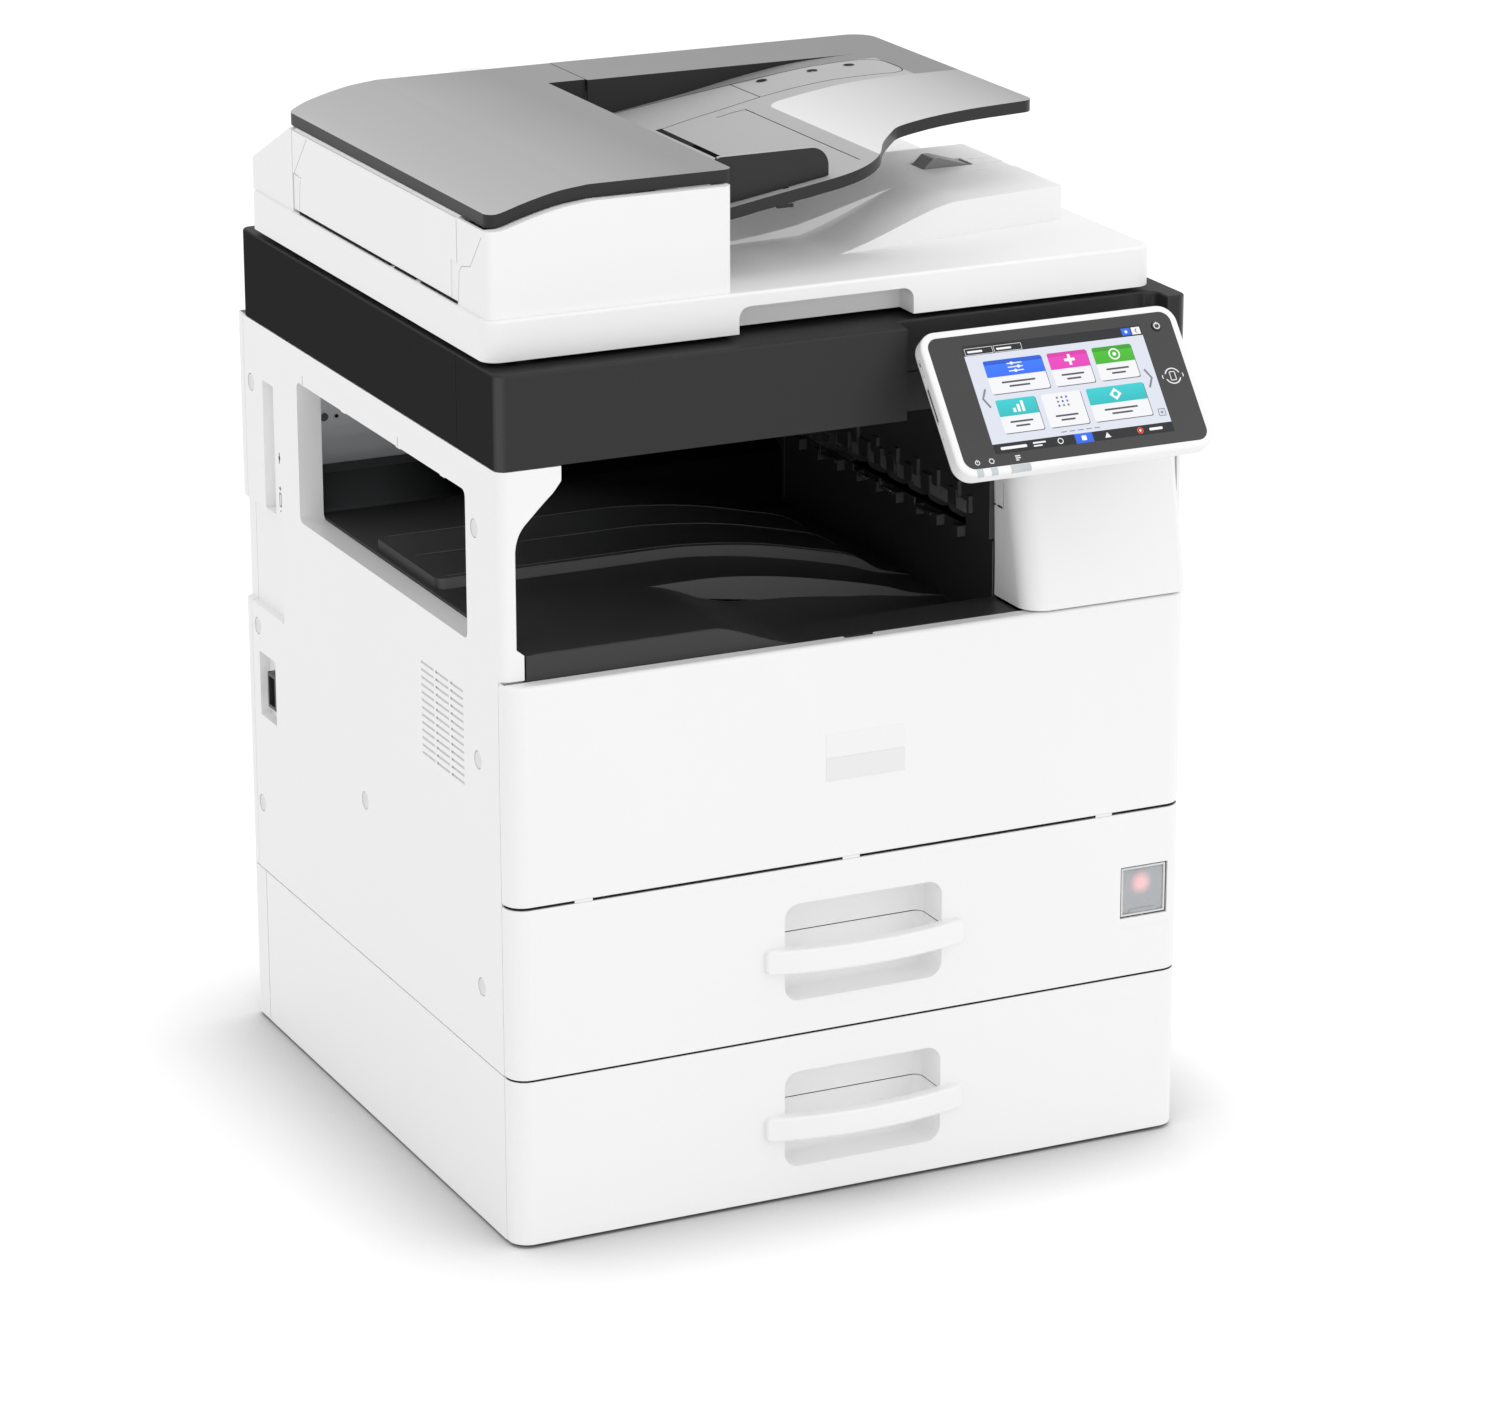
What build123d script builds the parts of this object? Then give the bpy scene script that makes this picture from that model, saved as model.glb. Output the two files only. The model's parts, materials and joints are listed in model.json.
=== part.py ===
"""Office photocopier with two paper drawers, an operation panel and a document feeder.

Millimetres. X runs to the machine's right, Y to its back and Z up. The origin lies on the floor
under the middle of the bounding box. Heights are from the floor, and a depth is measured back
from the face of the front covers, so back(0) is that face and back(body_depth) the rear cover.
"""
import os
from math import cos, pi, radians, sin, tan

from build123d import *

os.makedirs("parts", exist_ok=True)

# ---- overall ----
width = 587.0                # over the side covers
body_depth = 568.0           # front covers' face to the back of the rear cover
side_x = width / 2
wall = 2.5                   # moulded covers
sheet = 2.0                  # steel plates
gap = 1.5                    # seam round a cover that opens
seat = 0.3                   # clearance where one piece rests on another body
running = 0.05               # radial clearance of a pin in its bore

# ---- heights ----
floor_gap = 3.0              # lower edge of the covers above the floor
base_z = 6.0                 # underside of the bottom plate, on the feet
unit_split_z = 139.5         # seam between the paper feed unit and the main unit
cover_bottom_z = 280.5       # seam between the upper drawer and the front cover
cover_top_z = 458.0
housing_bottom_z = 624.0     # scanner housing
housing_top_z = 697.0
slab_bottom_z = 701.0        # platen cover
slab_top_z = 733.0

# ---- front covers ----
front_wrap = 18.0            # how far the fronts wrap round the sides
front_corner_r = 16.0
cover_edge_z = cover_bottom_z + 0.9    # lower edge of the front cover
cover_hinge_depth = 5.0
cover_hinge_z = cover_edge_z + 5.0
cover_pin_r = 1.2
hinge_lug_x = (side_x - 23.5, side_x - 17.5)
drawer_tops = (unit_split_z - gap / 2, cover_bottom_z - 1.2)

# ---- side and rear covers ----
rear_cover_wrap = 30.0       # lower unit
main_rear_wrap = 15.0        # main unit
rear_corner_r = 8.0

# ---- operation panel ----
screen_width = 211.4
screen_height = 110.7
panel_border = 5.8
panel_thickness = 17.0
panel_tilt = 39.5            # from upright
panel_corner_r = 15.0
panel_x = side_x - 134.4
panel_depth_mid = -40.0      # middle of its face, in front of the covers
panel_z = 648.4
panel_width = screen_width + 2 * panel_border
panel_height = screen_height + 2 * panel_border
panel_reach = panel_height / 2 * sin(radians(panel_tilt)) - panel_depth_mid

front_y = (panel_reach - body_depth) / 2


def back(depth):
    """Y of a plane this far behind the face of the front covers."""
    return front_y + depth


def block(x, depth, z, mode=Mode.ADD):
    """Box between two X values, two depths and two heights."""
    centre = ((x[0] + x[1]) / 2, back((depth[0] + depth[1]) / 2), (z[0] + z[1]) / 2)
    with Locations(centre):
        Box(x[1] - x[0], depth[1] - depth[0], z[1] - z[0], mode=mode)


def shaft_y(x, z, radius, depth, mode=Mode.ADD):
    """Round bar along Y."""
    with Locations((x, back((depth[0] + depth[1]) / 2), z)):
        Cylinder(radius, depth[1] - depth[0], rotation=(90, 0, 0), mode=mode)


def shaft_x(depth, z, radius, x, mode=Mode.ADD):
    """Round bar along X."""
    with Locations(((x[0] + x[1]) / 2, back(depth), z)):
        Cylinder(radius, x[1] - x[0], rotation=(0, 90, 0), mode=mode)


def front_plane(depth):
    """Upright plane facing forwards: its X is the machine's X, its Y is up."""
    return Plane(origin=(0, back(depth), 0), x_dir=(1, 0, 0), z_dir=(0, -1, 0))


def side_plane(x):
    """Upright plane facing right: its X is the machine's Y, its Y is up."""
    return Plane(origin=(x, 0, 0), x_dir=(0, 1, 0), z_dir=(1, 0, 0))


def lowered(curve, drop):
    """The same points in X and Z, moved down."""
    return [(x, z - drop) for x, z in curve]


def save(piece, name):
    """Label a finished piece and write its file."""
    piece.part.label = name
    export_step(piece.part, f"parts/{name}.step")


# ================= feet, plates, rails and frame =================
foot_r = 18.0
foot_x = side_x - 48.5
foot_depths = (50.0, body_depth - 53.0)
with BuildPart() as feet:
    with Locations(*[(sx * foot_x, back(d), base_z / 2) for sx in (-1, 1) for d in foot_depths]):
        Cylinder(foot_r, base_z)
    chamfer(feet.edges().filter_by(GeomType.CIRCLE).group_by(Axis.Z)[0], 1.2)
save(feet, "feet")

plate_front = front_wrap + 2.5          # front edge of the plates, behind the wrapped fronts
cover_inner_x = side_x - wall
rear_inner = body_depth - wall
middle_plate_z = unit_split_z - sheet / 2
base_top_z = base_z + sheet
with BuildPart() as base_plates:
    block((-cover_inner_x, cover_inner_x), (plate_front, rear_inner), (base_z, base_top_z))
    block((-cover_inner_x, cover_inner_x), (plate_front, rear_inner),
          (middle_plate_z, middle_plate_z + sheet))
save(base_plates, "base_plates")

# Drawer tray, used by the rails as well.
tray_left = -side_x + 31.5
tray_right = side_x - 61.5
tray_floor_rise = 12.0       # drawer floor above the bottom of its front
tray_height = 84.0
tray_wall = 2.5
pocket_depth = 37.0          # finger recess behind the drawer's face
tray_front = pocket_depth + wall
paper_front = tray_front + 24.0        # front edge of the widest paper
paper_depth = 297.0
tray_back = paper_front + paper_depth + 14.0
rail_depths = (42.0, body_depth - 88.0)
rail_ledge = 8.0
rail_rise = 46.0             # rail ledge above the bottom of the drawer's front
feed_roller_x = side_x - 85.5
feed_roller_r = 12.0
feed_roller_rise = 110.0     # axis above the bottom of the drawer's front
feed_bracket_depths = (140.0, 262.0)
roller_shaft_r = 4.0
stay_z = (288.0, 296.0)


def drawer_level(index):
    """Bottom of the front of the lower (0) or upper (1) drawer."""
    return (floor_gap, unit_split_z + gap / 2)[index]


unit_floor_tops = (base_top_z, middle_plate_z + sheet)
unit_tops = (middle_plate_z, cover_bottom_z - gap)
with BuildPart() as drawer_rails:
    for level in (0, 1):
        rail_z = drawer_level(level) + rail_rise
        for side, face in ((-1, tray_left), (1, tray_right)):
            inner = face + side * 0.8
            ledge = face + side * (0.8 + rail_ledge)
            web = ledge + side * sheet
            block(sorted((ledge, web)), rail_depths, (unit_floor_tops[level], unit_tops[level]))
            block(sorted((inner, ledge)), rail_depths, (rail_z - sheet, rail_z))
        # Hanging brackets of the feed roller above the paper.
        roller_z = drawer_level(level) + feed_roller_rise
        bracket_top = (middle_plate_z, stay_z[0])[level]
        for depth in feed_bracket_depths:
            block((feed_roller_x - 6, feed_roller_x + 6), (depth, depth + 3),
                  (roller_z - 6, bracket_top))
        shaft_y(feed_roller_x, roller_z, roller_shaft_r + running,
                (feed_bracket_depths[0] - 1, feed_bracket_depths[1] + 4), mode=Mode.SUBTRACT)
save(drawer_rails, "drawer_rails")

plate_depths = (plate_front + 2.0, body_depth - 68.0)      # front faces of the front and rear frame plates
front_plate_top = 428.0
rear_plate_top = housing_bottom_z - 2.0
frame_left_x = -side_x + 12.5
frame_right_x = side_x - 9.5
drum_x = side_x - 71.5
drum_z = 372.0
drum_r = 15.0
transfer_r = 8.0
nip_gap = 0.4                # between a pair of rollers
transfer_x = drum_x + drum_r + nip_gap + transfer_r
drum_window = ((drum_x - 110.0, drum_x + 40.0), (323.0, 402.0))     # X and Z of the opening for the drum unit
toner_x = -30.0
toner_z = 386.0
toner_r = 34.0
laser_x = (-196.0, 44.0)
stay_xs = (frame_left_x + 1.0, laser_x[0], laser_x[1] - 10.0, feed_roller_x - 5)
upper_stay_z = (402.0, 412.0)
upper_stay_xs = (frame_left_x + 1.0, 60.0, drum_x - 14.0)
drum_stay = ((drum_x - 102.0, drum_x - 92.0), (314.0, 324.0))
with BuildPart() as frame_plates:
    block((frame_left_x, frame_right_x), (plate_depths[0], plate_depths[0] + sheet),
          (cover_bottom_z + 1.0, front_plate_top))
    block((frame_left_x, frame_right_x), (plate_depths[1], plate_depths[1] + sheet),
          (middle_plate_z + sheet, rear_plate_top))
    # Opening through which the drum unit slides out, and a round one for the toner bottle.
    block(drum_window[0], (plate_depths[0] - 1, plate_depths[0] + sheet + 1), drum_window[1],
          mode=Mode.SUBTRACT)
    shaft_y(toner_x, toner_z, toner_r + 2, (plate_depths[0] - 1, plate_depths[0] + sheet + 1),
            mode=Mode.SUBTRACT)
    # Lugs of the front cover's hinge.
    for side in (-1, 1):
        lug = sorted((side * hinge_lug_x[0], side * hinge_lug_x[1]))
        block(lug, (cover_hinge_depth, plate_depths[0]), (cover_hinge_z - 2.0, cover_hinge_z + 2.3))
        shaft_x(cover_hinge_depth, cover_hinge_z, 2.3, lug)
        shaft_x(cover_hinge_depth, cover_hinge_z, cover_pin_r + running,
                (lug[0] - 1, lug[1] + 1), mode=Mode.SUBTRACT)
save(frame_plates, "frame_plates")

with BuildPart() as frame_stays:
    stay_depths = (plate_depths[0] + sheet, plate_depths[1])
    for x in stay_xs:
        block((x, x + 10), stay_depths, stay_z)
    for x in upper_stay_xs:
        block((x, x + 10), stay_depths, upper_stay_z)
    block(drum_stay[0], stay_depths, drum_stay[1])
save(frame_stays, "frame_stays")

# ================= covers of the paper feed unit =================
side_front = front_wrap + gap
lower_cover_z = (floor_gap, unit_split_z - 0.5)
lower_rear_front = body_depth - rear_cover_wrap
with BuildPart() as lower_side_covers:
    for side in (-1, 1):
        block(sorted((side * cover_inner_x, side * side_x)), (side_front, lower_rear_front - 0.8),
              lower_cover_z)
    upright = lower_side_covers.edges().filter_by(Axis.Z)
    fillet(upright.filter_by(lambda e: abs(e.center().X) > side_x - 0.1), 0.8)
save(lower_side_covers, "lower_side_covers")


def rear_shell(front, z):
    """Rear cover: a flat back whose rounded corners wrap round to the side covers."""
    with BuildSketch(Plane.XY.offset(z[0])) as outline:
        with Locations((0, back((front + body_depth) / 2))):
            Rectangle(width, body_depth - front)
        with Locations((0, back((front - 1 + rear_inner) / 2))):
            Rectangle(2 * cover_inner_x, rear_inner - front + 1, mode=Mode.SUBTRACT)
    extrude(outline.sketch, amount=z[1] - z[0])


main_cover_z = (unit_split_z + 0.5, housing_bottom_z - 0.8)
main_rear_front = body_depth - main_rear_wrap
# Recess that runs across the left cover into the rear cover's corner.
recess_front = body_depth - 93.0
recess_z = (376.5, 466.5)
recess_reach = 6.5
with BuildPart() as rear_covers:
    rear_shell(lower_rear_front, lower_cover_z)
    rear_shell(main_rear_front, main_cover_z)
    corners = rear_covers.edges().filter_by(Axis.Z).filter_by(
        lambda e: abs(e.center().X) > side_x - 0.1 and e.center().Y > back(body_depth) - 0.1)
    fillet(corners, rear_corner_r)
    block((-cover_inner_x, -side_x + recess_reach + 2), (main_rear_front, rear_inner),
          (recess_z[0] - 2, recess_z[1] + 2))
    block((-side_x - 1, -side_x + recess_reach), (main_rear_front - 1, body_depth + 1), recess_z,
          mode=Mode.SUBTRACT)
    # Air slots of the power supply's fan and an access lid outline.
    for row in range(12):
        block((-190, -90), (rear_inner - 1, body_depth + 1), (380 + 8 * row, 383.5 + 8 * row),
              mode=Mode.SUBTRACT)
    block((40, 230), (body_depth - 0.8, body_depth + 1), (300, 301.2), mode=Mode.SUBTRACT)
    block((40, 230), (body_depth - 0.8, body_depth + 1), (520, 521.2), mode=Mode.SUBTRACT)
    block((40, 41.2), (body_depth - 0.8, body_depth + 1), (300, 521.2), mode=Mode.SUBTRACT)
    block((228.8, 230), (body_depth - 0.8, body_depth + 1), (300, 521.2), mode=Mode.SUBTRACT)
save(rear_covers, "rear_covers")

# ================= left cover with its window =================
side_wall_x = -side_x + 20.6         # inner wall beside the exit tray
post_x = -side_x + 13.3              # right edge of the slim front post
post_depth = 13.0            # front of the post, the exit tray and the scanner housing
window_depths = (77.0, body_depth - 137.0)
window_z = (476.5, 594.5)
window_r = 6.0
screw_spots = ((body_depth - 30.5, 569), (60.3, 569), (body_depth - 29.2, 357.4),
               (body_depth - 27.4, 199.4), (300, 277),
               (60.3, 384.8), (60.5, 199.4))
screw_pocket_r = 7.5
cap_r = 6.8                  # caps over the screws of the left cover
dish = (6.1, 2.0, 0.8)       # hollow of their faces: rim and floor radius, depth
inlet_pocket = ((body_depth - 68.0, body_depth - 31.0), (280.0, 336.0))
inlet_block = ((body_depth - 62.0, body_depth - 43.0), (290.0, 321.0))
port_slot = ((body_depth - 82.0, body_depth - 57.0), (468.0, 577.0))
vent_rows = 13
vent_pitch = 6.2
vent_columns = ((88.0, 114.0), (117.0, 144.0), (147.0, 173.0))
vent_bottom = 356.0
bracket_x = -side_x + 51.8           # tip of the flared bracket under the scanner housing
pan_depth = 9.0


def grown(ranges, margin):
    """The same ranges, wider by a margin at each end."""
    return [(low - margin, high + margin) for low, high in ranges]


with BuildPart() as left_cover:
    block((-side_x, -cover_inner_x), (side_front, main_rear_front - 0.8), main_cover_z)
    # Deep frame round the window, as wide as the wall beside the exit tray.
    block((-cover_inner_x, side_wall_x), (30.0, window_depths[1] + 39.0),
          (window_z[0] - 6.5, main_cover_z[1]))
    # Front post with the bracket that flares to the right under the scanner housing.
    with BuildSketch(front_plane(post_depth)) as post:
        with BuildLine():
            Polyline((-side_x, cover_top_z + gap), (side_wall_x - 1.0, cover_top_z + gap),
                     (side_wall_x - 1.0, 479.0), (post_x, 484.0), (post_x, 556.0))
            Spline((post_x, 556.0), (post_x + 1.1, 567.0), (post_x + 5.7, 577.6),
                   (post_x + 13.6, 585.9), (bracket_x - 13.7, 597.0), (bracket_x - 5.1, 605.2),
                   (bracket_x - 1.0, 610.6), (bracket_x, 615.5), tangents=((0, 1), (0, 1)))
            Polyline((bracket_x, 615.5), (bracket_x, main_cover_z[1]), (-side_x, main_cover_z[1]),
                     (-side_x, cover_top_z + gap))
        make_face()
    extrude(post.sketch, amount=-(side_front - post_depth + 8.0))
    block((-cover_inner_x, post_x), (side_front, 40), (cover_top_z + gap, main_cover_z[1]))
    front_corner = left_cover.edges().filter_by(Axis.Z).filter_by(
        lambda e: e.center().X < -side_x + 0.1 and e.center().Y < back(post_depth) + 0.1)
    fillet(front_corner, 9.0)
    # Pans behind the power inlet's pocket and the port recess.
    for pocket in (inlet_pocket, port_slot):
        block((-cover_inner_x, -side_x + pan_depth + wall), *grown(pocket, wall))
    block((-cover_inner_x, -side_x + recess_reach + 2), (recess_front - 2, main_rear_front - 0.8),
          (recess_z[0] - 2, recess_z[1] + 2))
    block((-side_x - 1, -side_x + recess_reach), (recess_front, body_depth), recess_z,
          mode=Mode.SUBTRACT)
    with BuildSketch(side_plane(-side_x - 1)) as opening:
        with Locations((back(sum(window_depths) / 2), sum(window_z) / 2)):
            RectangleRounded(window_depths[1] - window_depths[0], window_z[1] - window_z[0],
                             window_r)
    extrude(opening.sketch, amount=side_x + side_wall_x + 2, mode=Mode.SUBTRACT)
    for depth, z in screw_spots:
        with Locations(Location((-side_x, back(depth), z), (0, 90, 0))):
            Cylinder(screw_pocket_r, 3.4, mode=Mode.SUBTRACT)
    for row in range(vent_rows):
        z = vent_bottom + row * vent_pitch
        for column in vent_columns:
            block((-side_x - 1, -cover_inner_x + 1), column, (z, z + 2.2), mode=Mode.SUBTRACT)
    for pocket in (inlet_pocket, port_slot):
        block((-side_x - 1, -side_x + pan_depth), *pocket, mode=Mode.SUBTRACT)
    block((-side_x, -side_x + pan_depth + wall + 1), *inlet_block, mode=Mode.SUBTRACT)
save(left_cover, "left_cover")

# ================= right covers and door =================
door_depths = (60.0, body_depth - 98.0)
door_z = (146.0, 452.0)
door_inner_x = side_x - 22.5
door_skin_x = side_x - 6.5
door_hinge_x = side_x - 3.5
door_hinge_depth = door_depths[1] - 3.0
door_pivot_r = 1.5
door_pivot_length = 4.0
door_lug_z = ((main_cover_z[0] + 0.6, door_z[0] - seat), (door_z[1] + seat, door_z[1] + 8.0))
with BuildPart() as right_covers:
    block((cover_inner_x, side_x), (side_front, door_depths[0] - gap), main_cover_z)
    block((cover_inner_x, side_x), (door_depths[1] + 3.0, main_rear_front - 0.8), main_cover_z)
    block((cover_inner_x, side_x), (door_depths[0] - gap + 0.8, door_depths[1] + 2.2),
          (door_z[1] + gap, main_cover_z[1]))
    # Returns that reach the frame plates behind the covers.
    block((frame_right_x, cover_inner_x), (plate_depths[0], plate_depths[0] + sheet),
          (300, 420))
    block((frame_right_x, cover_inner_x), (plate_depths[1], plate_depths[1] + sheet),
          (150, 600))
    block((frame_right_x - 20, cover_inner_x), (door_depths[1] - 3, door_depths[1] + 2.2),
          (500, 503))
    # Lugs under and over the door, bored for its pivots.
    for lug_z in door_lug_z:
        block((door_hinge_x - 4, cover_inner_x + 0.5), (door_hinge_depth - 4, door_depths[1] + 2.2),
              lug_z)
        block((door_hinge_x - 4, cover_inner_x), (door_depths[1] + 2.2, door_depths[1] + 6), lug_z)
        with Locations((door_hinge_x, back(door_hinge_depth), sum(lug_z) / 2)):
            Cylinder(door_pivot_r + running, lug_z[1] - lug_z[0] + 2, mode=Mode.SUBTRACT)
    for z in (480.0, 560.0):
        for depth in (120.0, 250.0, 380.0):
            block((side_x - 0.6, side_x + 1), (depth, depth + 60), (z, z + 1.2),
                  mode=Mode.SUBTRACT)
save(right_covers, "right_covers")

bypass_depths = (door_depths[0] + 50.0, door_depths[1] - 50.0)
bypass_grip = 80.0
bypass_z = (252.0, 426.0)
bypass_thickness = 5.5
bypass_mid = sum(bypass_depths) / 2
bypass_hinge_x = side_x - 2.75
bypass_hinge_z = bypass_z[0] + 2.75
with BuildPart() as right_door:
    block((door_skin_x, side_x), door_depths, door_z)
    block((door_inner_x, door_skin_x), (door_depths[0] + 15, door_depths[1] - 15),
          (door_z[0] + 14, door_z[1] - 8))
    outer = right_door.edges().group_by(Axis.X)[-1]
    fillet(outer, 2.0)
    block((door_inner_x - 1, door_skin_x - wall), (door_depths[0] + 18, door_depths[1] - 18),
          (door_z[0] + 17, door_z[1] - 11), mode=Mode.SUBTRACT)
    guide_ribs = 9
    guide_span = door_depths[1] - door_depths[0] - 60
    for rib in range(guide_ribs):
        depth = door_depths[0] + 30 + rib * guide_span / (guide_ribs - 1)
        block((door_inner_x, door_skin_x - wall), (depth - 1, depth + 1),
              (door_z[0] + 17, door_z[1] - 11))
    # Recess of the bypass tray and the finger hole above it.
    block((side_x - bypass_thickness - seat, side_x + 1), *grown((bypass_depths, bypass_z), 1.2),
          mode=Mode.SUBTRACT)
    block((side_x - 4, side_x + 1), (bypass_mid - bypass_grip / 2, bypass_mid + bypass_grip / 2),
          (bypass_z[1] + 1, bypass_z[1] + 14),
          mode=Mode.SUBTRACT)
    # Grip of the door's latch at its front edge.
    block((side_x - 4, side_x + 1), (door_depths[0] + 10, door_depths[0] + 26), (300, 390),
          mode=Mode.SUBTRACT)
    # Pivots in the cover's lugs.
    for edge in (door_z[0], door_z[1]):
        with Locations((door_hinge_x, back(door_hinge_depth), edge)):
            Cylinder(door_pivot_r, 2 * door_pivot_length)
save(right_door, "right_door")

with BuildPart() as bypass_tray:
    block((side_x - bypass_thickness, side_x), bypass_depths, bypass_z)
    fillet(bypass_tray.edges().filter_by(Axis.X).group_by(Axis.Z)[-1], 10)
    fillet(bypass_tray.edges().filter_by(Axis.Y).filter_by(
        lambda e: e.center().Z < bypass_z[0] + 1), 2.7)
    # Ribs and recess on the paper side, which faces the door when folded.
    block((side_x - bypass_thickness - 1, side_x - bypass_thickness + 1.5),
          (bypass_depths[0] + 12, bypass_depths[1] - 12), (bypass_z[0] + 16, bypass_z[1] - 12),
          mode=Mode.SUBTRACT)
save(bypass_tray, "bypass_tray")

# ================= exit tray, its walls and the pedestal =================
tray_wall_x = side_x - 145.5          # right wall of the exit space and left side of the pedestal
tray_edge_x = side_wall_x + 0.5
tray_rear = body_depth - 127.0
lip_top_z = 478.5
ledge_z = cover_top_z - 0.5
ledge_rear = 57.0
step_depth = 136.0           # front of the curved mound
plate_step = 8.7             # raised support plate
plate_depth_range = (199.0, 330.0)
plate_left_x = side_wall_x + 4.9
tray_sheet = 3.0


def from_wall(points):
    """Points given as a distance to the left of the right wall, and a height."""
    return [(tray_wall_x - left, z) for left, z in points]


front_floor = from_wall([(266.0, lip_top_z), (253.0, 476.4), (238.0, 471.4), (225.0, 465.8),
                         (208.0, 460.0), (186.0, 456.6), (138.0, 453.6), (81.0, 447.0),
                         (36.0, 441.0), (0.0, 435.0)])
rear_floor = from_wall([(223.0, lip_top_z), (195.0, 477.4), (166.0, 474.2), (138.0, 469.7),
                        (110.0, 464.2), (81.0, 457.6), (51.0, 449.6), (22.0, 440.9),
                        (0.0, 435.0)])
ledge_line = from_wall([(266.0, lip_top_z), (253.0, 476.4), (238.0, 471.4), (225.0, 466.2),
                        (208.0, 461.0), (184.0, ledge_z)])
plate_line = from_wall([(223.0, lip_top_z + plate_step), (194.0, 485.8), (166.0, 483.2),
                        (122.0, 476.2), (78.0, 466.0), (48.0, 456.6), (20.0, 442.4)])


def floor_slab(curve, left, bottom, depths):
    """Floor that is level up to a curve and follows it down to the right, down to a bottom."""
    (first_x, first_z), (last_x, last_z) = curve[0], curve[-1]
    with BuildSketch(front_plane(depths[0])) as face:
        with BuildLine():
            Line((left, first_z), curve[0])
            Spline(*curve, tangents=((1, 0), (1, -0.16 if last_z < ledge_z else 0)))
            Polyline(curve[-1], (tray_wall_x, min(last_z, 436.5) if last_z < ledge_z else last_z),
                     (tray_wall_x, bottom[1]), (first_x - 60, bottom[0]), (left, bottom[0]),
                     (left, first_z))
        make_face()
    extrude(face.sketch, amount=depths[0] - depths[1])


floor_bottom = (472.0, 431.0)          # under the left and the right of the floor
with BuildPart() as exit_tray:
    floor_slab(ledge_line, tray_edge_x, floor_bottom, (post_depth, ledge_rear))
    floor_slab(front_floor[:-1], tray_edge_x, floor_bottom, (ledge_rear, step_depth))
    floor_slab(rear_floor[:-1], tray_edge_x, floor_bottom, (step_depth, tray_rear))
    # Raised plate that carries the middle of the sheets.
    floor_slab(plate_line, plate_left_x, floor_bottom, plate_depth_range)
    plate_corners = exit_tray.edges().filter_by(Axis.Z).filter_by(
        lambda e: abs(e.center().X - plate_left_x) < 0.1)
    fillet(plate_corners, 8.0)
    # The front edge hangs down inside the front cover.
    floor_slab(ledge_line, tray_edge_x, (440, 440), (post_depth, post_depth + tray_sheet))
save(exit_tray, "exit_tray")

slope_top_z = 502.0
slope_rear = tray_rear + 33.0
with BuildPart() as exit_rear_wall:
    with BuildSketch(side_plane(tray_edge_x)) as slope:
        with BuildLine():
            Polyline((back(tray_rear + seat), 431), (back(tray_rear + seat), 481),
                     (back(slope_rear), slope_top_z), (back(plate_depths[1]), slope_top_z),
                     (back(plate_depths[1]), slope_top_z - 3),
                     (back(slope_rear + 2), slope_top_z - 3),
                     (back(tray_rear + 3.3), 478.5), (back(tray_rear + 3.3), 431),
                     (back(tray_rear + seat), 431))
        make_face()
    extrude(slope.sketch, amount=tray_wall_x - tray_edge_x)
save(exit_rear_wall, "exit_rear_wall")

exit_wall_depths = (56.0, plate_depths[1])
exit_step_x = tray_wall_x - 5.0
exit_step_z = 505.0
exit_z = 515.0
exit_slot = ((96.0, body_depth - 164.0), (503.0, 527.0))
exit_roller_r = 9.0
exit_roller_x = tray_wall_x + 7.0
exit_rib_pitch = 36.0
exit_ribs = int((exit_slot[0][1] - exit_slot[0][0] - 12) / exit_rib_pitch) + 1
exit_rib_depths = [exit_slot[0][0] + 8 + exit_rib_pitch * i for i in range(exit_ribs)]
with BuildPart() as exit_unit:
    block((tray_wall_x, tray_wall_x + 3), exit_wall_depths, (431, rear_plate_top))
    block((exit_step_x, tray_wall_x), exit_wall_depths, (exit_step_z, rear_plate_top))
    block((tray_wall_x + 3, cover_inner_x), (exit_wall_depths[0], exit_wall_depths[0] + 3),
          (cover_top_z + gap, rear_plate_top))
    block((exit_step_x - 1, tray_wall_x + 4), *exit_slot, mode=Mode.SUBTRACT)
    for depth in exit_rib_depths:
        block((exit_step_x - 3, exit_step_x), (depth, depth + 9), (exit_slot[1][1], 541))
        block((exit_step_x - 2, tray_wall_x), (depth + 2, depth + 14), (494, exit_slot[1][0]))
    # Bearings of the exit rollers.
    for depth in (exit_slot[0][0] - 5, exit_slot[0][1] + 1):
        block((tray_wall_x + 3, exit_roller_x + 8), (depth, depth + 4), exit_slot[1])
    shaft_y(exit_roller_x, exit_z, 3 + running, (exit_slot[0][0] - 6, exit_slot[0][1] + 6),
            mode=Mode.SUBTRACT)
save(exit_unit, "exit_unit")

with BuildPart() as exit_rollers:
    shaft_y(exit_roller_x, exit_z, 3, (exit_slot[0][0] - 5, exit_slot[0][1] + 5))
    for depth in exit_rib_depths[:-1]:
        shaft_y(exit_roller_x, exit_z, exit_roller_r, (depth + 14, depth + 28))
save(exit_rollers, "exit_rollers")

pedestal_right = side_x - 2.5
pedestal_rear = 55.5
pedestal_top_z = 600.0
pedestal_left_r = 20.0
pedestal_right_r = 8.0
# Height, depth of the front face and left side of each section up the pedestal.
pedestal_sections = [(cover_top_z + gap, -2.0, tray_wall_x), (497.0, 5.5, tray_wall_x),
                     (540.0, 14.5, tray_wall_x - 1), (pedestal_top_z, 17.0, tray_wall_x - 1)]


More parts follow.
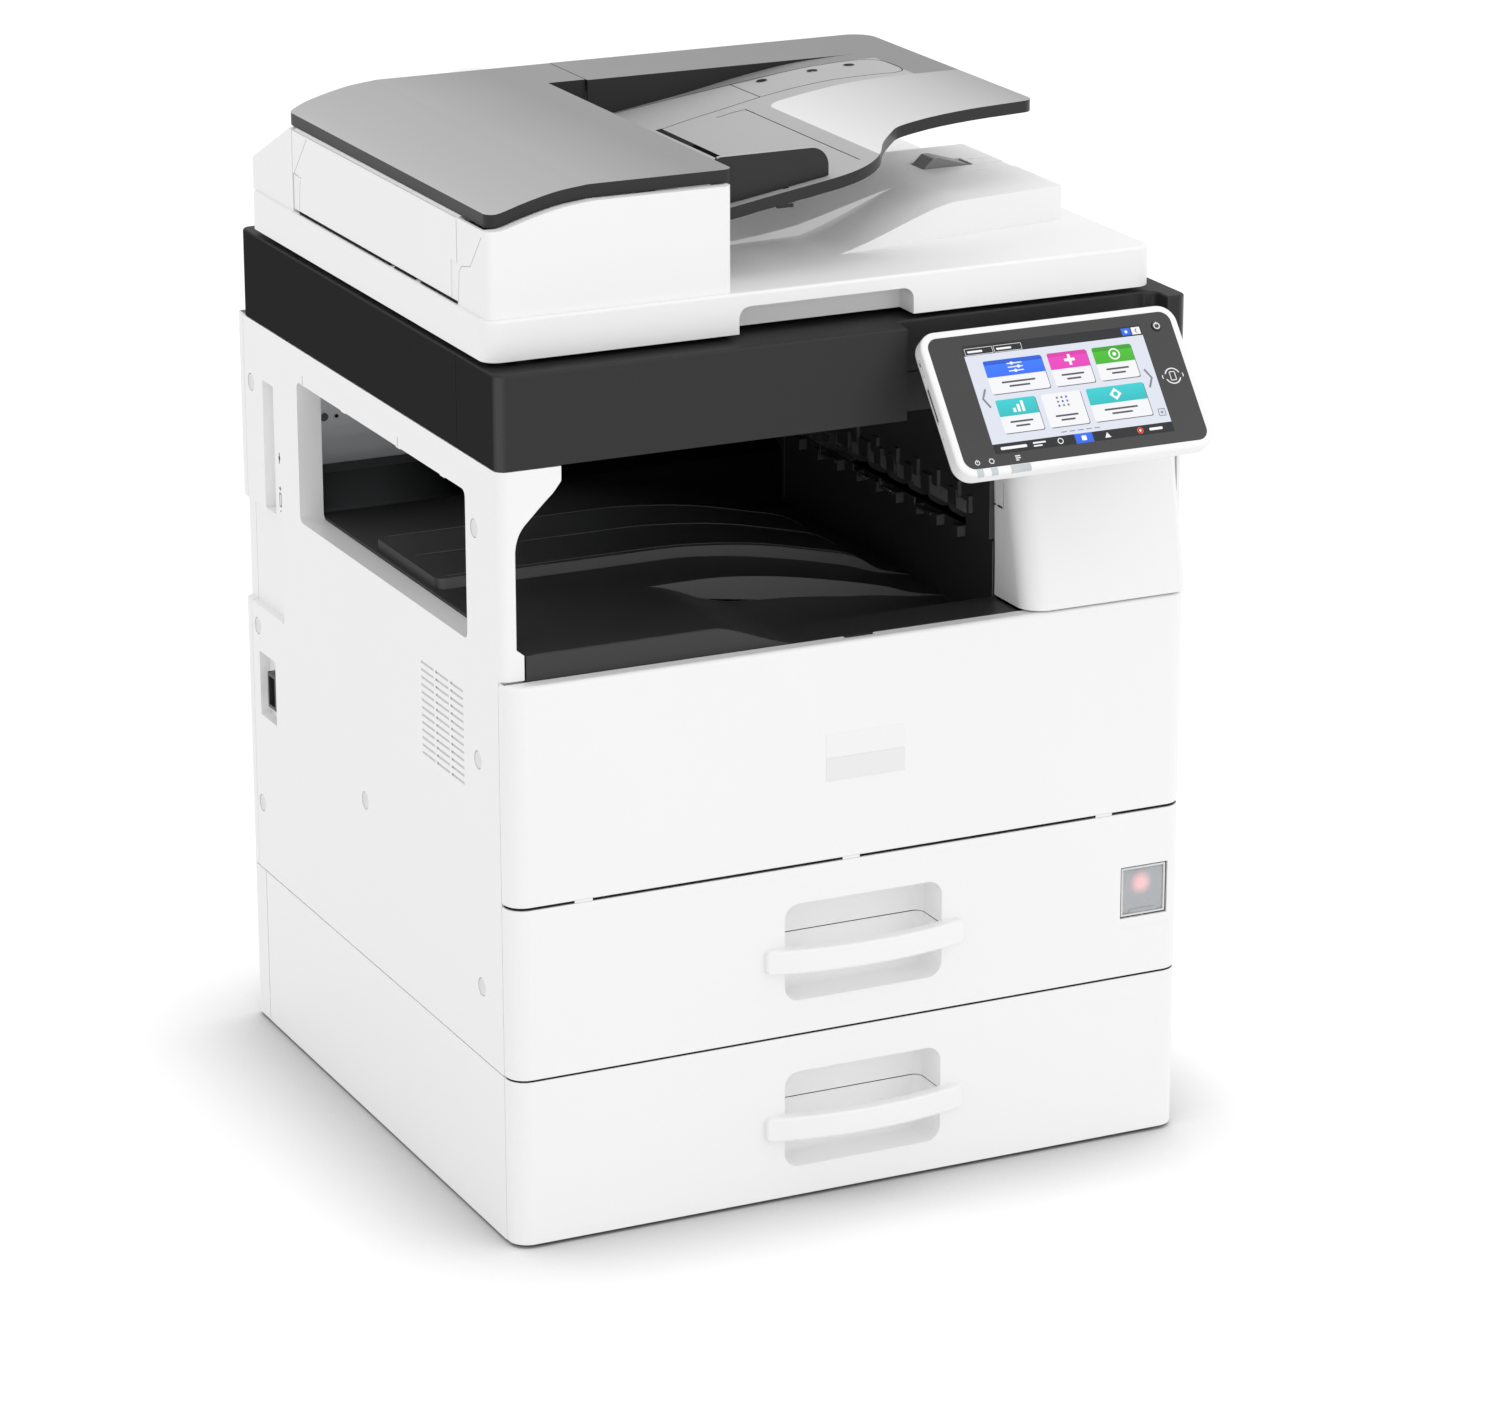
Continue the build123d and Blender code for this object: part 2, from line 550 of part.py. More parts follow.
def pedestal_outline(front, left, inset):
    """Plan of the pedestal, open at the back when inset."""
    left, front, right = left + inset, front + inset, pedestal_right - inset
    rear = pedestal_rear + inset
    with BuildLine() as line:
        l1 = Line((left, back(rear)), (left, back(front + pedestal_left_r)))
        a1 = TangentArc(l1 @ 1, (left + pedestal_left_r, back(front)), tangent=l1 % 1)
        l2 = Line(a1 @ 1, (right - pedestal_right_r, back(front)))
        a2 = TangentArc(l2 @ 1, (right, back(front + pedestal_right_r)), tangent=l2 % 1)
        l3 = Line(a2 @ 1, (right, back(rear)))
        Line(l3 @ 1, l1 @ 0)
    return line.line


neck_x = (panel_x - 7.1, panel_x + 30.9)
panel_axis_depth = -14.0
panel_axis_z = 632.0
panel_knuckle_r = 8.5
panel_pin_r = 4.0
with BuildPart() as pedestal:
    for z, front, left in pedestal_sections:
        with BuildSketch(Plane.XY.offset(z)):
            add(pedestal_outline(front, left, 0))
            make_face()
    loft()
    fillet(pedestal.edges().group_by(Axis.Z)[-1].filter_by(
        lambda e: e.center().Y < back(pedestal_rear) - 1), 2.0)
with BuildPart() as pedestal_core:
    for z, front, left in pedestal_sections:
        level = z - wall if z > 550 else z
        with BuildSketch(Plane.XY.offset(level)):
            add(pedestal_outline(front, left, wall))
            make_face()
    loft()
with pedestal:
    add(pedestal_core.part, mode=Mode.SUBTRACT)
    # Neck that carries the panel's hinge pin.
    with BuildSketch(side_plane(neck_x[0])) as neck:
        with BuildLine():
            Polyline((back(20), pedestal_top_z - 1), (back(20), 612),
                     (back(panel_axis_depth), panel_axis_z - panel_knuckle_r),
                     (back(panel_axis_depth), panel_axis_z + panel_knuckle_r), (back(34), 634),
                     (back(34), pedestal_top_z - 1), (back(20), pedestal_top_z - 1))
        make_face()
    extrude(neck.sketch, amount=neck_x[1] - neck_x[0])
    shaft_x(panel_axis_depth, panel_axis_z, panel_knuckle_r, neck_x)
    shaft_x(panel_axis_depth, panel_axis_z, panel_pin_r + running,
            (neck_x[0] - 1, neck_x[1] + 1), mode=Mode.SUBTRACT)
save(pedestal, "pedestal")

# ================= scanner housing, glass, carriage =================
housing_front = post_depth
housing_rear = body_depth - 15.0
housing_wall = 3.0
housing_corner_r = 9.0
recess_depth = 37.0          # step back behind the operation panel
recess_x = (panel_x - 111.6, panel_x - 107.6, side_x - 18.0)
deck_z = housing_top_z - 7.0           # underside of the glass frame
glass_thickness = 4.0
glass_depths = (118.0, 118.0 + paper_depth + 9.0)
main_glass_x = (-side_x + 81.5, -side_x + 515.5)
strip_glass_x = (-side_x + 31.5, -side_x + 55.5)
rod_depth = sum(glass_depths) / 2
rod_z = 645.0
rod_r = 5.0
with BuildPart() as scanner_housing:
    with BuildSketch(Plane.XY.offset(housing_bottom_z)) as plan:
        with BuildLine():
            Polyline((recess_x[0], back(housing_front)), (-side_x, back(housing_front)),
                     (-side_x, back(housing_rear)), (side_x, back(housing_rear)),
                     (side_x, back(housing_front)), (recess_x[2], back(housing_front)),
                     (recess_x[2], back(recess_depth)), (recess_x[1], back(recess_depth)),
                     close=True)
        make_face()
        inner_corner = plan.vertices().sort_by_distance((recess_x[2], back(recess_depth)))[0]
        fillet(inner_corner, 10)
        step_corner = plan.vertices().sort_by_distance((recess_x[1], back(recess_depth)))[0]
        fillet(step_corner, 3.5)
        ear_corner = plan.vertices().sort_by_distance((recess_x[2], back(housing_front)))[0]
        fillet(ear_corner, 2)
    extrude(plan.sketch, amount=housing_top_z - housing_bottom_z)
    fillet(scanner_housing.edges().filter_by(Axis.Z).filter_by(
        lambda e: abs(e.center().X) > side_x - 0.1), housing_corner_r)
    fillet(scanner_housing.faces().sort_by(Axis.Z)[-1].outer_wire().edges(), 2.0)
    block((-side_x + housing_wall, side_x - housing_wall),
          (recess_depth + housing_wall, housing_rear - housing_wall),
          (housing_bottom_z + housing_wall, deck_z), mode=Mode.SUBTRACT)
    for glass_x in (main_glass_x, strip_glass_x):
        block(glass_x, glass_depths, (housing_top_z - glass_thickness, housing_top_z + 1),
              mode=Mode.SUBTRACT)
        block((glass_x[0] + 4, glass_x[1] - 4), (glass_depths[0] + 6, glass_depths[1] - 6),
              (deck_z - 1, housing_top_z), mode=Mode.SUBTRACT)
    # Seams of the front and right caps of the housing.
    block((-side_x - 1, -side_x + 0.6), (90, 91), (housing_bottom_z - 1, housing_top_z + 1),
          mode=Mode.SUBTRACT)
    block((recess_x[0] + 2.5, side_x + 1), (recess_depth - 1, recess_depth + 0.8), (655, 656.2),
          mode=Mode.SUBTRACT)
save(scanner_housing, "scanner_housing")

with BuildPart() as scan_glass:
    for glass_x in (main_glass_x, strip_glass_x):
        block(glass_x, glass_depths, (housing_top_z - glass_thickness, housing_top_z))
save(scan_glass, "scan_glass")

rail_depth = 96.0
with BuildPart() as scan_rods:
    shaft_x(rod_depth, rod_z, rod_r, (-side_x + housing_wall, side_x - housing_wall))
    block((-side_x + housing_wall, side_x - housing_wall), (rail_depth, rail_depth + 8),
          (housing_bottom_z + housing_wall, 650))
save(scan_rods, "scan_rods")

carriage_x = (strip_glass_x[0], strip_glass_x[0] + 36.0)
with BuildPart() as scan_carriage:
    block(carriage_x, (glass_depths[0] - 10, glass_depths[1] + 10), (656, 687))
    block((carriage_x[0], carriage_x[1]), (rod_depth - 12, rod_depth + 12), (rod_z - 9, 657))
    block((carriage_x[0] + 6, carriage_x[1] - 6), (rail_depth - 2, 110), (650 + seat, 662))
    shaft_x(rod_depth, rod_z, rod_r + running, (carriage_x[0] - 1, carriage_x[1] + 1),
            mode=Mode.SUBTRACT)
    # Lamp and sensor slot in its top.
    block((carriage_x[0] + 12, carriage_x[1] - 12), (glass_depths[0] + 4, glass_depths[1] - 4),
          (678, 688), mode=Mode.SUBTRACT)
save(scan_carriage, "scan_carriage")

# ================= power inlet, screws, hinge blocks =================
with BuildPart() as power_inlet:
    block((-side_x + 2.0, -side_x + pan_depth + 22), *inlet_block)
    block((-side_x + 1, -side_x + 16), (inlet_block[0][0] + 3, inlet_block[0][1] - 3),
          (inlet_block[1][0] + 3, inlet_block[1][1] - 3), mode=Mode.SUBTRACT)
    blade_x = (-side_x + 7, -side_x + 17)
    mid_depth = sum(inlet_block[0]) / 2
    mid_z = sum(inlet_block[1]) / 2
    for depth, z in ((mid_depth + 2, mid_z), (mid_depth - 3, mid_z - 7), (mid_depth - 3, mid_z + 7)):
        block(blade_x, (depth - 1, depth + 1), (z - 2, z + 2))
save(power_inlet, "power_inlet")

pocket_floor_x = side_x - 1.7
screw_r = 4.2
screw_height = 1.2
rear_screws = [(side * (side_x - 23.5), z) for side in (-1, 1) for z in (60, 180, 330, 590)]
with BuildPart() as cover_screws:
    for depth, z in screw_spots:
        with Locations(Location((-pocket_floor_x - screw_height / 2, back(depth), z), (0, 90, 0))):
            Cylinder(cap_r, screw_height)
        with Locations(Location((-pocket_floor_x - screw_height + dish[2] / 2, back(depth), z),
                                (0, 90, 0))):
            Cone(*dish, mode=Mode.SUBTRACT)
    for x, z in rear_screws:
        with Locations(Location((x, back(body_depth) + 0.7, z), (90, 0, 0))):
            Cylinder(screw_r, 1.4)
        for size in ((0.9, 4.6), (4.6, 0.9)):
            with Locations((x, back(body_depth) + 1.4, z)):
                Box(size[0], 1.2, size[1], mode=Mode.SUBTRACT)
save(cover_screws, "cover_screws")

hinge_depth = housing_rear - 8.0
hinge_z = 706.0
hinge_pin_r = 4.0
hinge_xs = (-200.0, 150.0)
hinge_half = 15.0
with BuildPart() as hinge_blocks:
    for x in hinge_xs:
        block((x - hinge_half, x + hinge_half), (hinge_depth - 8, housing_rear),
              (housing_top_z, hinge_z + 8))
    fillet(hinge_blocks.edges().filter_by(Axis.X).group_by(Axis.Z)[-1], 5)
    for x in hinge_xs:
        shaft_x(hinge_depth, hinge_z, hinge_pin_r + running,
                (x - hinge_half - 1, x + hinge_half + 1), mode=Mode.SUBTRACT)
save(hinge_blocks, "hinge_blocks")

# ================= switch in the upper drawer's window =================
switch_x = (side_x - 55.5, side_x - 15.5)
switch_z = (191.0, 232.0)
switch_window = ((switch_x[0] - 1.4, switch_x[1] + 1.5), (switch_z[0] - 1.4, switch_z[1] + 1.4))
switch_depths = (1.2, rail_depths[0])
rocker_x = (switch_x[0] + 11.5, switch_x[0] + 26.5)
rocker_depth = 17.0
rocker_z = 211.0
rocker_pin_r = 1.5
flap_pin_r = 1.2
flap_pin_depth = 3.6
flap_pin_z = 228.4
with BuildPart() as switch_housing:
    block(switch_x, switch_depths, switch_z)
    block((switch_x[0] + 1.6, switch_x[1] - 1.6), (0, 13), (switch_z[0] + 1.6, switch_z[1] - 1.6),
          mode=Mode.SUBTRACT)
    block(rocker_x, (12, 30), (rocker_z - 14, rocker_z + 14), mode=Mode.SUBTRACT)
    shaft_x(rocker_depth, rocker_z, rocker_pin_r + running, (rocker_x[0] - 4, rocker_x[1] + 4),
            mode=Mode.SUBTRACT)
    shaft_x(flap_pin_depth, flap_pin_z, flap_pin_r + running, (switch_x[0] - 1, switch_x[1] + 1),
            mode=Mode.SUBTRACT)
save(switch_housing, "switch_housing")

with BuildPart() as switch_rocker:
    with BuildSketch(side_plane(rocker_x[0] + 0.5)) as rocker_side:
        with BuildLine():
            Polyline((back(9.6), rocker_z - 10.5), (back(11.4), rocker_z),
                     (back(9.6), rocker_z + 10.5), (back(20), rocker_z + 8),
                     (back(24), rocker_z), (back(20), rocker_z - 8), (back(9.6), rocker_z - 10.5))
        make_face()
    extrude(rocker_side.sketch, amount=rocker_x[1] - rocker_x[0] - 1)
    shaft_x(rocker_depth, rocker_z, rocker_pin_r, (rocker_x[0] - 3.5, rocker_x[1] + 3.5))
save(switch_rocker, "switch_rocker")

with BuildPart() as switch_flap:
    block((switch_x[0] + 2.0, switch_x[1] - 2.0), (flap_pin_depth - 1.6, flap_pin_depth + 0.4),
          (switch_z[0] + 2.2, flap_pin_z))
    shaft_x(flap_pin_depth, flap_pin_z, 1.6, (switch_x[0] + 2.0, switch_x[1] - 2.0))
    shaft_x(flap_pin_depth, flap_pin_z, flap_pin_r, (switch_x[0] + 0.2, switch_x[1] - 0.2))
    # Thumb edge.
    block((switch_x[0] + 8, switch_x[1] - 8), (flap_pin_depth - 2.6, flap_pin_depth - 1.0),
          (switch_z[0] + 2.2, switch_z[0] + 5))
save(switch_flap, "switch_flap")

# ================= imaging units =================
laser_depths = (60.0, plate_depths[1] - 40.0)
laser_z = (stay_z[1], 340.0)
with BuildPart() as laser_unit:
    block(laser_x, laser_depths, laser_z)
    chamfer(laser_unit.edges().filter_by(Axis.Z), 12)
    fillet(laser_unit.edges().group_by(Axis.Z)[-1], 2)
    for depth in (96.0, 276.0):
        block((toner_x - 22, toner_x + 22), (depth, depth + 16), (laser_z[1] - 1, 364))
    shaft_y(toner_x, toner_z, toner_r + seat, (90, 300), mode=Mode.SUBTRACT)
save(laser_unit, "laser_unit")

with BuildPart() as toner_bottle:
    shaft_y(toner_x, toner_z, toner_r, (30, 320))
    chamfer(toner_bottle.edges().filter_by(GeomType.CIRCLE).sort_by(Axis.Y)[-1], 6)
    for turn in range(7):
        depth = 60 + 34 * turn
        with BuildSketch(front_plane(depth)) as groove:
            with Locations((toner_x, toner_z)):
                Circle(toner_r + 1)
                Circle(toner_r - 1.6, mode=Mode.SUBTRACT)
        extrude(groove.sketch, amount=-5, mode=Mode.SUBTRACT)
    shaft_y(toner_x, toner_z, 20, (21.5, 31))
    block((toner_x - 2, toner_x + 2), (20.5, 24), (toner_z - 16, toner_z + 16))
save(toner_bottle, "toner_bottle")

drum_unit_x = (drum_x - 104.0, drum_x + 34.0)
drum_unit_z = (drum_stay[1][1], 400.0)
plate_pair = ((50.0, 54.0), (plate_depths[1] - 30.0, plate_depths[1] - 26.0))
drum_wall_x = drum_x - 22.0
drum_shaft_r = 4.0
transfer_shaft_r = 3.0
with BuildPart() as drum_housing:
    block((drum_unit_x[0], drum_wall_x), (plate_pair[0][0], plate_pair[1][1]), drum_unit_z)
    block((drum_unit_x[0] + 3, drum_wall_x - 3), (plate_pair[0][1], plate_pair[1][0]),
          (drum_unit_z[0] + 3, drum_unit_z[1] - 3), mode=Mode.SUBTRACT)
    block((drum_wall_x - 10, drum_wall_x + 1), (plate_pair[0][1], plate_pair[1][0]), (drum_z - 20, drum_z + 20),
          mode=Mode.SUBTRACT)
    for pair in plate_pair:
        block((drum_unit_x[0], drum_unit_x[1]), pair, (346, drum_unit_z[1]))
        shaft_y(drum_x, drum_z, drum_shaft_r + running, (pair[0] - 1, pair[1] + 1),
                mode=Mode.SUBTRACT)
        shaft_y(transfer_x, drum_z, transfer_shaft_r + running, (pair[0] - 1, pair[1] + 1),
                mode=Mode.SUBTRACT)
save(drum_housing, "drum_housing")


def roller(x, z, radius, shaft_radius):
    """Roller between the two end plates, on a shaft that runs in their bores."""
    shaft_y(x, z, radius, (plate_pair[0][1] + 4, plate_pair[1][0] - 4))
    shaft_y(x, z, shaft_radius, (plate_pair[0][0] - 2, plate_pair[1][1] + 6))


with BuildPart() as drum:
    roller(drum_x, drum_z, drum_r, drum_shaft_r)
    shaft_y(drum_x, drum_z, drum_r - 1, (plate_pair[1][1] + 1, plate_pair[1][1] + 6))
save(drum, "drum")

with BuildPart() as transfer_roller:
    roller(transfer_x, drum_z, transfer_r, transfer_shaft_r)
save(transfer_roller, "transfer_roller")

fuser_x = drum_x + 4.0
fuser_z = 432.0
fuser_r = 13.0
pressure_x = fuser_x + 2 * fuser_r + nip_gap
fuser_box_x = (fuser_x - 20.0, fuser_x + 42.5)
fuser_box_z = (upper_stay_z[1], 454.0)
with BuildPart() as fuser_housing:
    block(fuser_box_x, (plate_pair[0][0], plate_pair[1][1]), fuser_box_z)
    block((fuser_box_x[0] + 3, fuser_box_x[1] - 1.5), (plate_pair[0][1], plate_pair[1][0]),
          (fuser_box_z[0] - 1, fuser_box_z[1] + 1), mode=Mode.SUBTRACT)
    for depth in (140, 230, 320, 410):
        block((fuser_box_x[0] - 4, fuser_box_x[0]), (depth, depth + 3), fuser_box_z)
    for x in (fuser_x, pressure_x):
        shaft_y(x, fuser_z, drum_shaft_r + running, (plate_pair[0][0] - 1, plate_pair[1][1] + 1),
                mode=Mode.SUBTRACT)
save(fuser_housing, "fuser_housing")

with BuildPart() as fuser_roller:
    roller(fuser_x, fuser_z, fuser_r, drum_shaft_r)
save(fuser_roller, "fuser_roller")

with BuildPart() as pressure_roller:
    roller(pressure_x, fuser_z, fuser_r, drum_shaft_r)
save(pressure_roller, "pressure_roller")

feed_roller_names = ("lower_feed_roller", "upper_feed_roller")
for level, name in enumerate(feed_roller_names):
    roller_z = drawer_level(level) + feed_roller_rise
    with BuildPart() as feed_roller:
        shaft_y(feed_roller_x, roller_z, roller_shaft_r,
                (feed_bracket_depths[0] - 6, feed_bracket_depths[1] + 10))
        for depth in (156, 222):
            shaft_y(feed_roller_x, roller_z, feed_roller_r, (depth, depth + 26))
    save(feed_roller, name)

# ================= front cover =================
def front_shell(z):
    """Outside of a front moulding: its rounded corners wrap round to the side covers."""
    with BuildSketch(Plane.XY.offset(z[0])) as plan:
        with Locations((0, back(front_wrap / 2))):
            Rectangle(width, front_wrap)
        fillet(plan.vertices().group_by(Axis.Y)[0], front_corner_r)
    extrude(plan.sketch, amount=z[1] - z[0])


def hollow_front(z, top_rear):
    """Clear the inside of a front moulding, open at the back; top_rear opens its top behind."""
    with BuildSketch(Plane.XY.offset(z[0] + wall)) as inner:
        with Locations((0, back((wall + front_wrap + 1) / 2))):
            Rectangle(2 * cover_inner_x, front_wrap + 1 - wall)
        fillet(inner.vertices().group_by(Axis.Y)[0], front_corner_r - wall)
    extrude(inner.sketch, amount=z[1] - z[0] - 2 * wall, mode=Mode.SUBTRACT)
    if top_rear:
        block((-cover_inner_x, cover_inner_x), (top_rear, front_wrap + 1), (z[1] - wall - 1, z[1] + 1),
              mode=Mode.SUBTRACT)


latch_notch = ((-7.0, 19.0), (7.5, 13.0))
with BuildPart() as front_cover:
    front_shell((cover_edge_z, cover_top_z))
    fillet(front_cover.edges().group_by(Axis.Z)[-1].filter_by(
        lambda e: e.center().Y < back(front_wrap) - 0.5), 3.5)
    fillet(front_cover.edges().group_by(Axis.Z)[0].filter_by(
        lambda e: e.center().Y < back(front_wrap) - 0.5), 1.5)
    hollow_front((cover_edge_z, cover_top_z), 12.4)
    block(latch_notch[0], latch_notch[1], (cover_top_z - 1.6, cover_top_z + 1),
          mode=Mode.SUBTRACT)
    for side in (-1, 1):
        notch = sorted((side * (hinge_lug_x[0] - 1), side * (hinge_lug_x[1] + 1)))
        block(notch, (wall, front_wrap + 1), (cover_edge_z - 1, cover_edge_z + 8),
              mode=Mode.SUBTRACT)
        # Boss and pin of the hinge.
        boss = sorted((side * (hinge_lug_x[0] - 7.5), side * (hinge_lug_x[0] - 1)))
        block(boss, (wall - 0.5, cover_hinge_depth + 4), (cover_edge_z + 1, cover_hinge_z + 4))
        pin = sorted((side * (hinge_lug_x[0] - 3), side * hinge_lug_x[1]))
        shaft_x(cover_hinge_depth, cover_hinge_z, cover_pin_r, pin)
    # Stiffening ribs inside.
    for x in (-200, -100, 0, 100, 200):
        block((x - 1, x + 1), (wall - 0.5, 11.0), (cover_edge_z + 14, cover_top_z - 14))
save(front_cover, "front_cover")

# ================= drawers =================
pocket_x = (-62.0, 75.0)
pocket_drop = (30.75, 110.75)          # below the top of the drawer's front
pocket_r = 12.0
bar_x = (-80.0, 93.0)
bar_drop = (64.5, 84.5)
bar_proud = 17.0
bar_thick = 9.0
guide_x = (-60.0, 20.0)
guide_thick = 3.0
guide_height = 66.0
guide_travel = 70.0
lift_hinge_x = -150.0
lift_x = (lift_hinge_x, tray_right - 6.0)


def drawer_front(name, level):
    """Face of a drawer with its finger recess and bowed bar."""
    bottom, top = drawer_level(level), drawer_tops[level]
    with BuildPart() as face:
        front_shell((bottom, top))
        for group in (0, -1):
            fillet(face.edges().group_by(Axis.Z)[group].filter_by(
                lambda e: e.center().Y < back(front_wrap) - 0.5), 1.2)
        hollow_front((bottom, top), None)
        pocket_mid = ((pocket_x[0] + pocket_x[1]) / 2, top - sum(pocket_drop) / 2)
        pocket_size = (pocket_x[1] - pocket_x[0], pocket_drop[1] - pocket_drop[0])
        for margin, depth, mode in ((wall, pocket_depth + wall, Mode.ADD),
                                    (0, pocket_depth, Mode.SUBTRACT)):
            start = wall if mode == Mode.ADD else -1
            with BuildSketch(front_plane(start)) as recess:
                with Locations(pocket_mid):
                    RectangleRounded(pocket_size[0] + 2 * margin, pocket_size[1] + 2 * margin,
                                     pocket_r + margin)
            extrude(recess.sketch, amount=start - depth, mode=mode)
        rims = face.edges().filter_by(Plane.XZ).filter_by(
            lambda e: abs(e.center().Y - back(pocket_depth)) < 0.1)
        fillet(rims, 8.0)
        mouth = face.edges().filter_by(
            lambda e: abs(e.center().Y - back(0)) < 0.01 and pocket_x[0] - 1 < e.center().X
            < pocket_x[1] + 1 and top - pocket_drop[1] - 1 < e.center().Z < top - pocket_drop[0] + 1)
        fillet(mouth, 1.2)
        # Seam between the upper and the lower half of the recess.
        block((pocket_x[0] - 0.7, pocket_x[1] + 0.7), (2.0, pocket_depth + 0.7),
              (top - bar_drop[0] - 3.0, top - bar_drop[0] - 2.2), mode=Mode.SUBTRACT)
        # Bowed bar across the recess.
        middle = sum(bar_x) / 2
        with BuildSketch(Plane.XY.offset(top - bar_drop[1])) as bow:
            with BuildLine():
                ThreePointArc((bar_x[0], back(-5)), (middle, back(-bar_proud)),
                              (bar_x[1], back(-5)))
                Polyline((bar_x[1], back(-5)), (bar_x[1], back(0.5)), (pocket_x[1], back(0.5)))
                ThreePointArc((pocket_x[1], back(0.5)), (middle, back(bar_thick - bar_proud)),
                              (pocket_x[0], back(0.5)))
                Polyline((pocket_x[0], back(0.5)), (bar_x[0], back(0.5)), (bar_x[0], back(-5)))
            make_face()
        extrude(bow.sketch, amount=bar_drop[1] - bar_drop[0])
        ends = face.edges().filter_by(Axis.Y).filter_by(
            lambda e: min(abs(e.center().X - x) for x in bar_x) < 0.1 and e.center().Y < back(0))
        fillet(ends, 4.5)
        bows = face.edges().filter_by(
            lambda e: e.length > 120 and e.center().Y < back(-8) and e.geom_type == GeomType.CIRCLE
            and e.center().Y < back(-bar_proud + bar_thick))
        fillet(bows, 2.5)
        if level == 1:
            block(switch_window[0], (-1, wall + 1), switch_window[1], mode=Mode.SUBTRACT)
    save(face, name)


def drawer_tray(name, level):
    """Open box that holds the paper, with runners on both sides and brackets to its front."""
    bottom = drawer_level(level) + tray_floor_rise
    rail_z = drawer_level(level) + rail_rise
    with BuildPart() as tray:
        block((tray_left, tray_right), (tray_front, tray_back), (bottom, bottom + tray_height))
        fillet(tray.edges().filter_by(Axis.Z), 4)
        block((tray_left + tray_wall, tray_right - tray_wall),
              (tray_front + tray_wall, tray_back - tray_wall),
              (bottom + tray_wall, bottom + tray_height + 1), mode=Mode.SUBTRACT)
        for face, side in ((tray_left, -1), (tray_right, 1)):
            runner = sorted((face, face + side * (rail_ledge + 0.2)))
            block(runner, (tray_front + 12, tray_back - 2), (rail_z + seat, rail_z + seat + 4))
        for x in (-210, 170):
            block((x, x + 20), (wall, tray_front), (bottom + 25, bottom + 60))
        # Bearings of the lift plate.
        for depth in (tray_front + tray_wall, tray_back - tray_wall - 4):
            block((lift_hinge_x - 6, lift_hinge_x + 6), (depth, depth + 4),
                  (bottom + tray_wall, bottom + tray_wall + 10))
        shaft_y(lift_hinge_x, bottom + tray_wall + 5, 2 + running,
                (tray_front + tray_wall - 0.5, tray_back - tray_wall + 0.5), mode=Mode.SUBTRACT)
    save(tray, name)


def lift_plate(name, level):
    """Plate under the paper that rises to the feed roller, notched for the paper guides."""
    floor_z = drawer_level(level) + tray_floor_rise + tray_wall
    axis_z = floor_z + 5
    with BuildPart() as lift:
        block((lift_x[0], lift_x[1]), (tray_front + 12, tray_back - 12), (axis_z - 1, axis_z + 0.6))
        for depths in ((tray_front, paper_front + guide_travel + 4),
                       (paper_front + paper_depth - guide_travel - 4, tray_back)):
            block((guide_x[0] - 5, guide_x[1] + 5), depths, (axis_z - 2, axis_z + 2),
                  mode=Mode.SUBTRACT)
        shaft_y(lift_hinge_x, axis_z, 2, (tray_front + tray_wall, tray_back - tray_wall))
    save(lift, name)


def paper_guide(name, level, front_one):
    """Fence beside the paper with its foot on the drawer's floor."""
    floor_z = drawer_level(level) + tray_floor_rise + tray_wall + seat
    inner = paper_front if front_one else paper_front + paper_depth
    away = -1 if front_one else 1
    with BuildPart() as fence:
        block(guide_x, sorted((inner, inner + away * guide_thick)),
              (floor_z, floor_z + guide_height))
        fillet(fence.edges().filter_by(Axis.Y).group_by(Axis.Z)[-1], 10)
        block(guide_x, sorted((inner, inner + away * 10)), (floor_z, floor_z + 2.5))
        for x in (guide_x[0] + 10, guide_x[1] - 12):
            block((x, x + 2), sorted((inner + away, inner + away * 9)), (floor_z, floor_z + 40))
    save(fence, name)


for level, prefix in enumerate(("lower", "upper")):
    drawer_front(f"{prefix}_drawer_front", level)
    drawer_tray(f"{prefix}_drawer_tray", level)
    lift_plate(f"{prefix}_lift_plate", level)
    paper_guide(f"{prefix}_front_guide", level, True)
    paper_guide(f"{prefix}_rear_guide", level, False)

